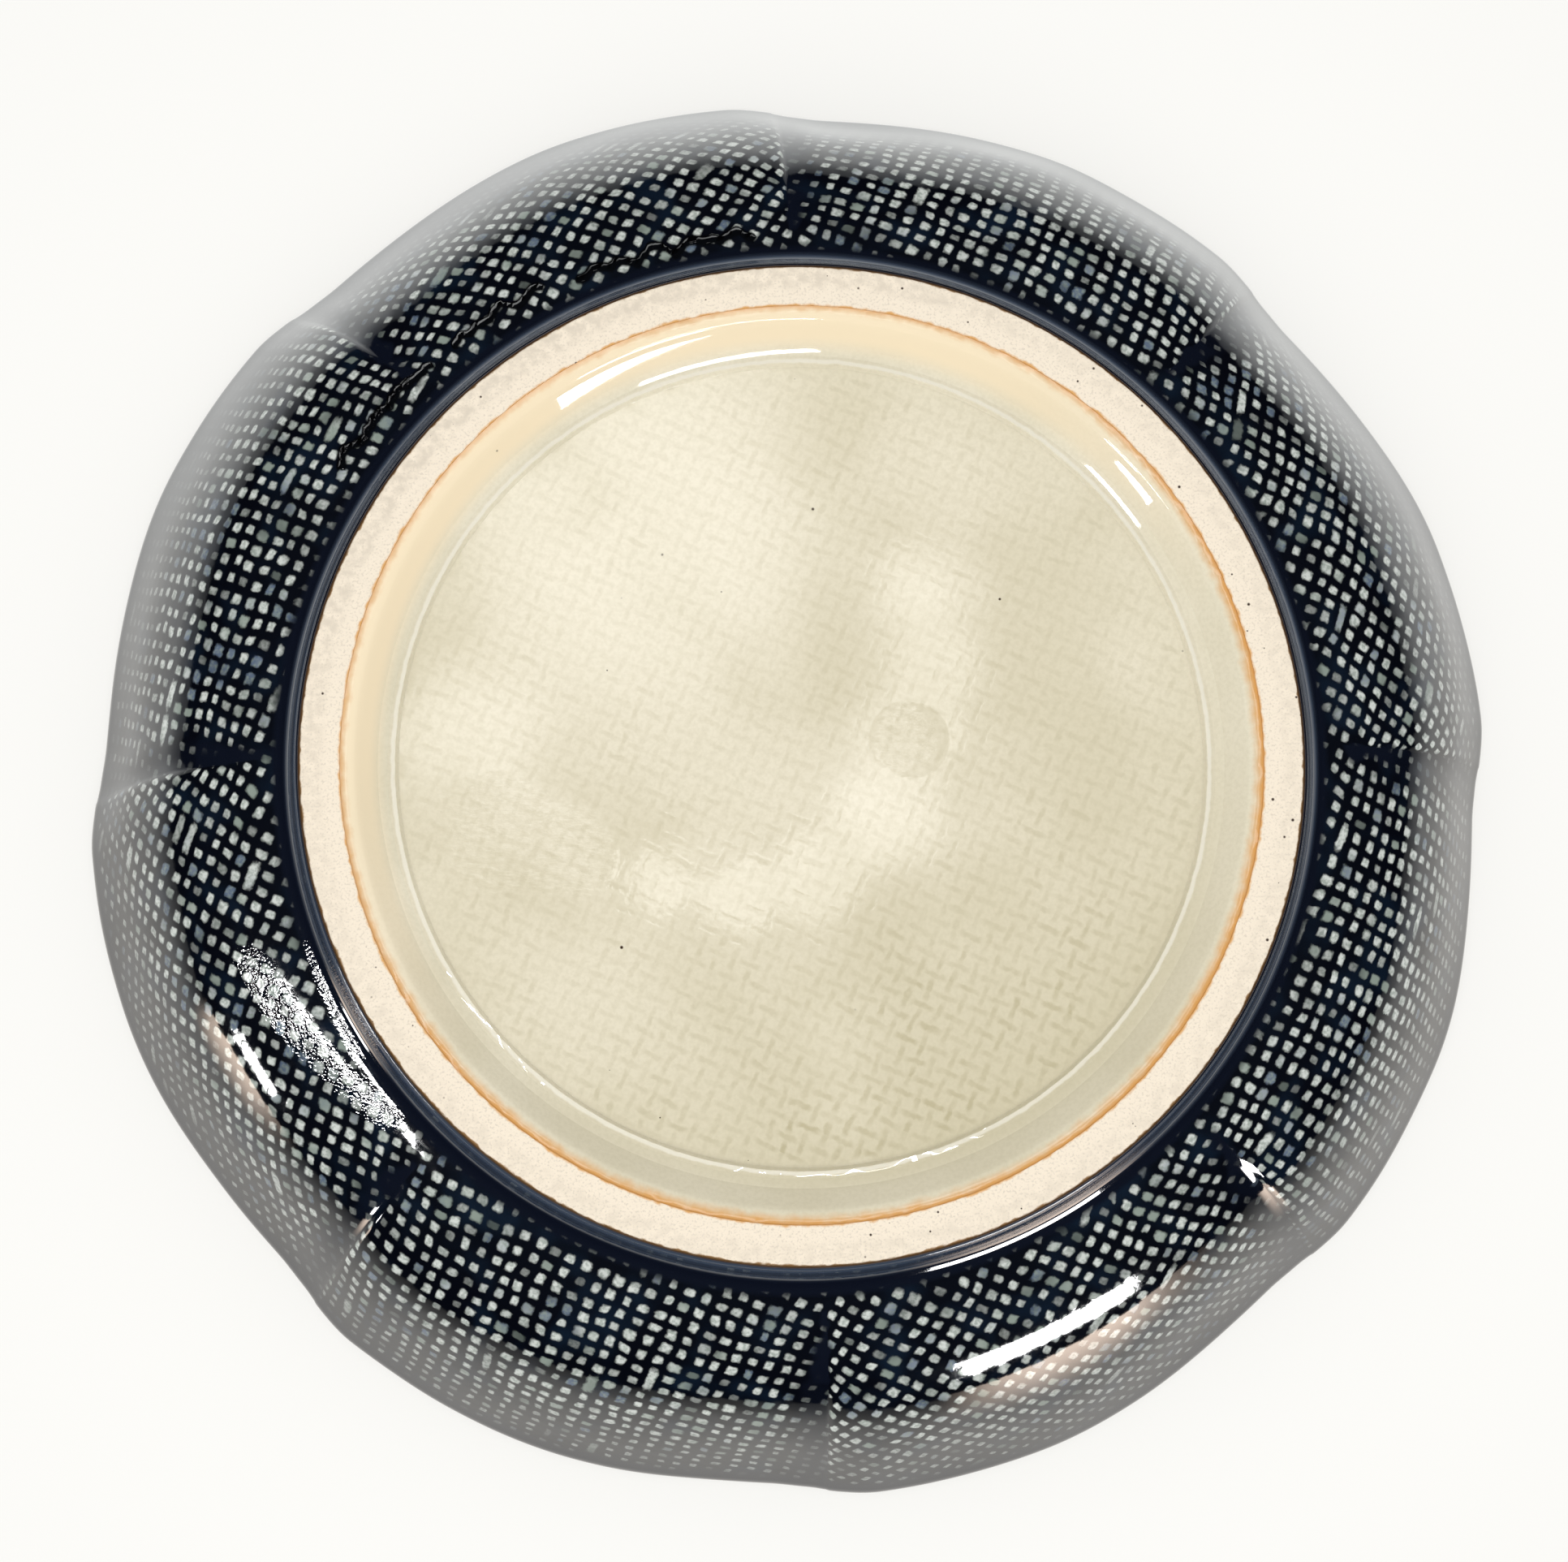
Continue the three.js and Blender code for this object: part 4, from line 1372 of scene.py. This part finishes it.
    def lamps(self, studio):
        """Windows that show as reflections in one piece each, and a soft box on either side."""
        for name, piece, azimuth, height, roll, width, tall, radiance in LAMPS:
            data = bpy.data.lights.new(name, "AREA")
            data.shape = "RECTANGLE"
            data.size = width
            data.size_y = tall
            data.energy = radiance * math.pi * width * tall
            lamp = bpy.data.objects.new(name, data)
            way = way_to(azimuth, height)
            lamp.location = way * studio.lamp_distance
            facing = way.to_track_quat("Z", "Y") @ Quaternion((0, 0, 1), math.radians(roll))
            lamp.rotation_euler = facing.to_euler()
            lamp.visible_diffuse = not piece
            lamp.visible_glossy = bool(piece)
            lamp.visible_camera = False
            if piece:
                alone = bpy.data.collections.new(name)
                alone.objects.link(bpy.data.objects[piece])
                lamp.light_linking.receiver_collection = alone
            bpy.context.scene.collection.objects.link(lamp)

    def camera(self, scene, studio):
        """The camera under the foot, with the bowl's -Y side at the top of the picture."""
        data = bpy.data.cameras.new("camera")
        data.sensor_width = SENSOR_WIDTH
        data.lens = studio.focal_pixels / PHOTO_WIDTH * SENSOR_WIDTH
        data.clip_start = 10 * MM
        data.clip_end = 100
        camera = bpy.data.objects.new("camera", data)
        eye, aim = Vector(studio.eye), Vector(studio.aim)
        back = (eye - aim).normalized()
        right = Vector((0, -1, 0)).cross(back).normalized()
        turn = Matrix((right, back.cross(right), back)).transposed()
        camera.matrix_world = Matrix.Translation(eye) @ turn.to_4x4()
        scene.collection.objects.link(camera)
        scene.camera = camera


class BOWL_PT_panel(Panel):
    """Lists the pieces of the bowl and their sizes"""

    bl_label = "Petalled Bowl"
    bl_idname = "BOWL_PT_panel"
    bl_space_type = "VIEW_3D"
    bl_region_type = "UI"
    bl_category = "Bowl"

    def draw(self, context):
        for operator in OPERATORS:
            self.layout.operator(operator.bl_idname)
        for name in SETTINGS:
            settings = getattr(context.scene, name)
            box = self.layout.box()
            for key in settings.__annotations__:
                box.prop(settings, key)


OPERATORS = (
    BOWL_OT_finishes,
    BOWL_OT_clay_body,
    BOWL_OT_foot_ring,
    BOWL_OT_luting_slip,
    BOWL_OT_indigo_coat,
    BOWL_OT_inside_coat,
    BOWL_OT_well_coat,
    BOWL_OT_stage,
)
SETTINGS = {
    "bowl_sizes": BowlSizes,
    "bowl_cloth": ClothSizes,
    "bowl_paints": GlazePaints,
    "bowl_studio": StudioSizes,
}


def register():
    noise.seed_set(DRIFT_SEED)
    for cls in (*SETTINGS.values(), *OPERATORS, BOWL_PT_panel):
        bpy.utils.register_class(cls)
    for name, cls in SETTINGS.items():
        setattr(bpy.types.Scene, name, PointerProperty(type=cls))


def unregister():
    for name in SETTINGS:
        delattr(bpy.types.Scene, name)
    for cls in (BOWL_PT_panel, *reversed(OPERATORS), *reversed(SETTINGS.values())):
        bpy.utils.unregister_class(cls)


def main():
    register()
    bpy.ops.bowl.finishes()
    bpy.ops.bowl.clay_body()
    bpy.ops.bowl.foot_ring()
    bpy.ops.bowl.luting_slip()
    bpy.ops.bowl.indigo_coat()
    bpy.ops.bowl.inside_coat()
    bpy.ops.bowl.well_coat()
    bpy.ops.bowl.stage()


if __name__ == "__main__":
    main()
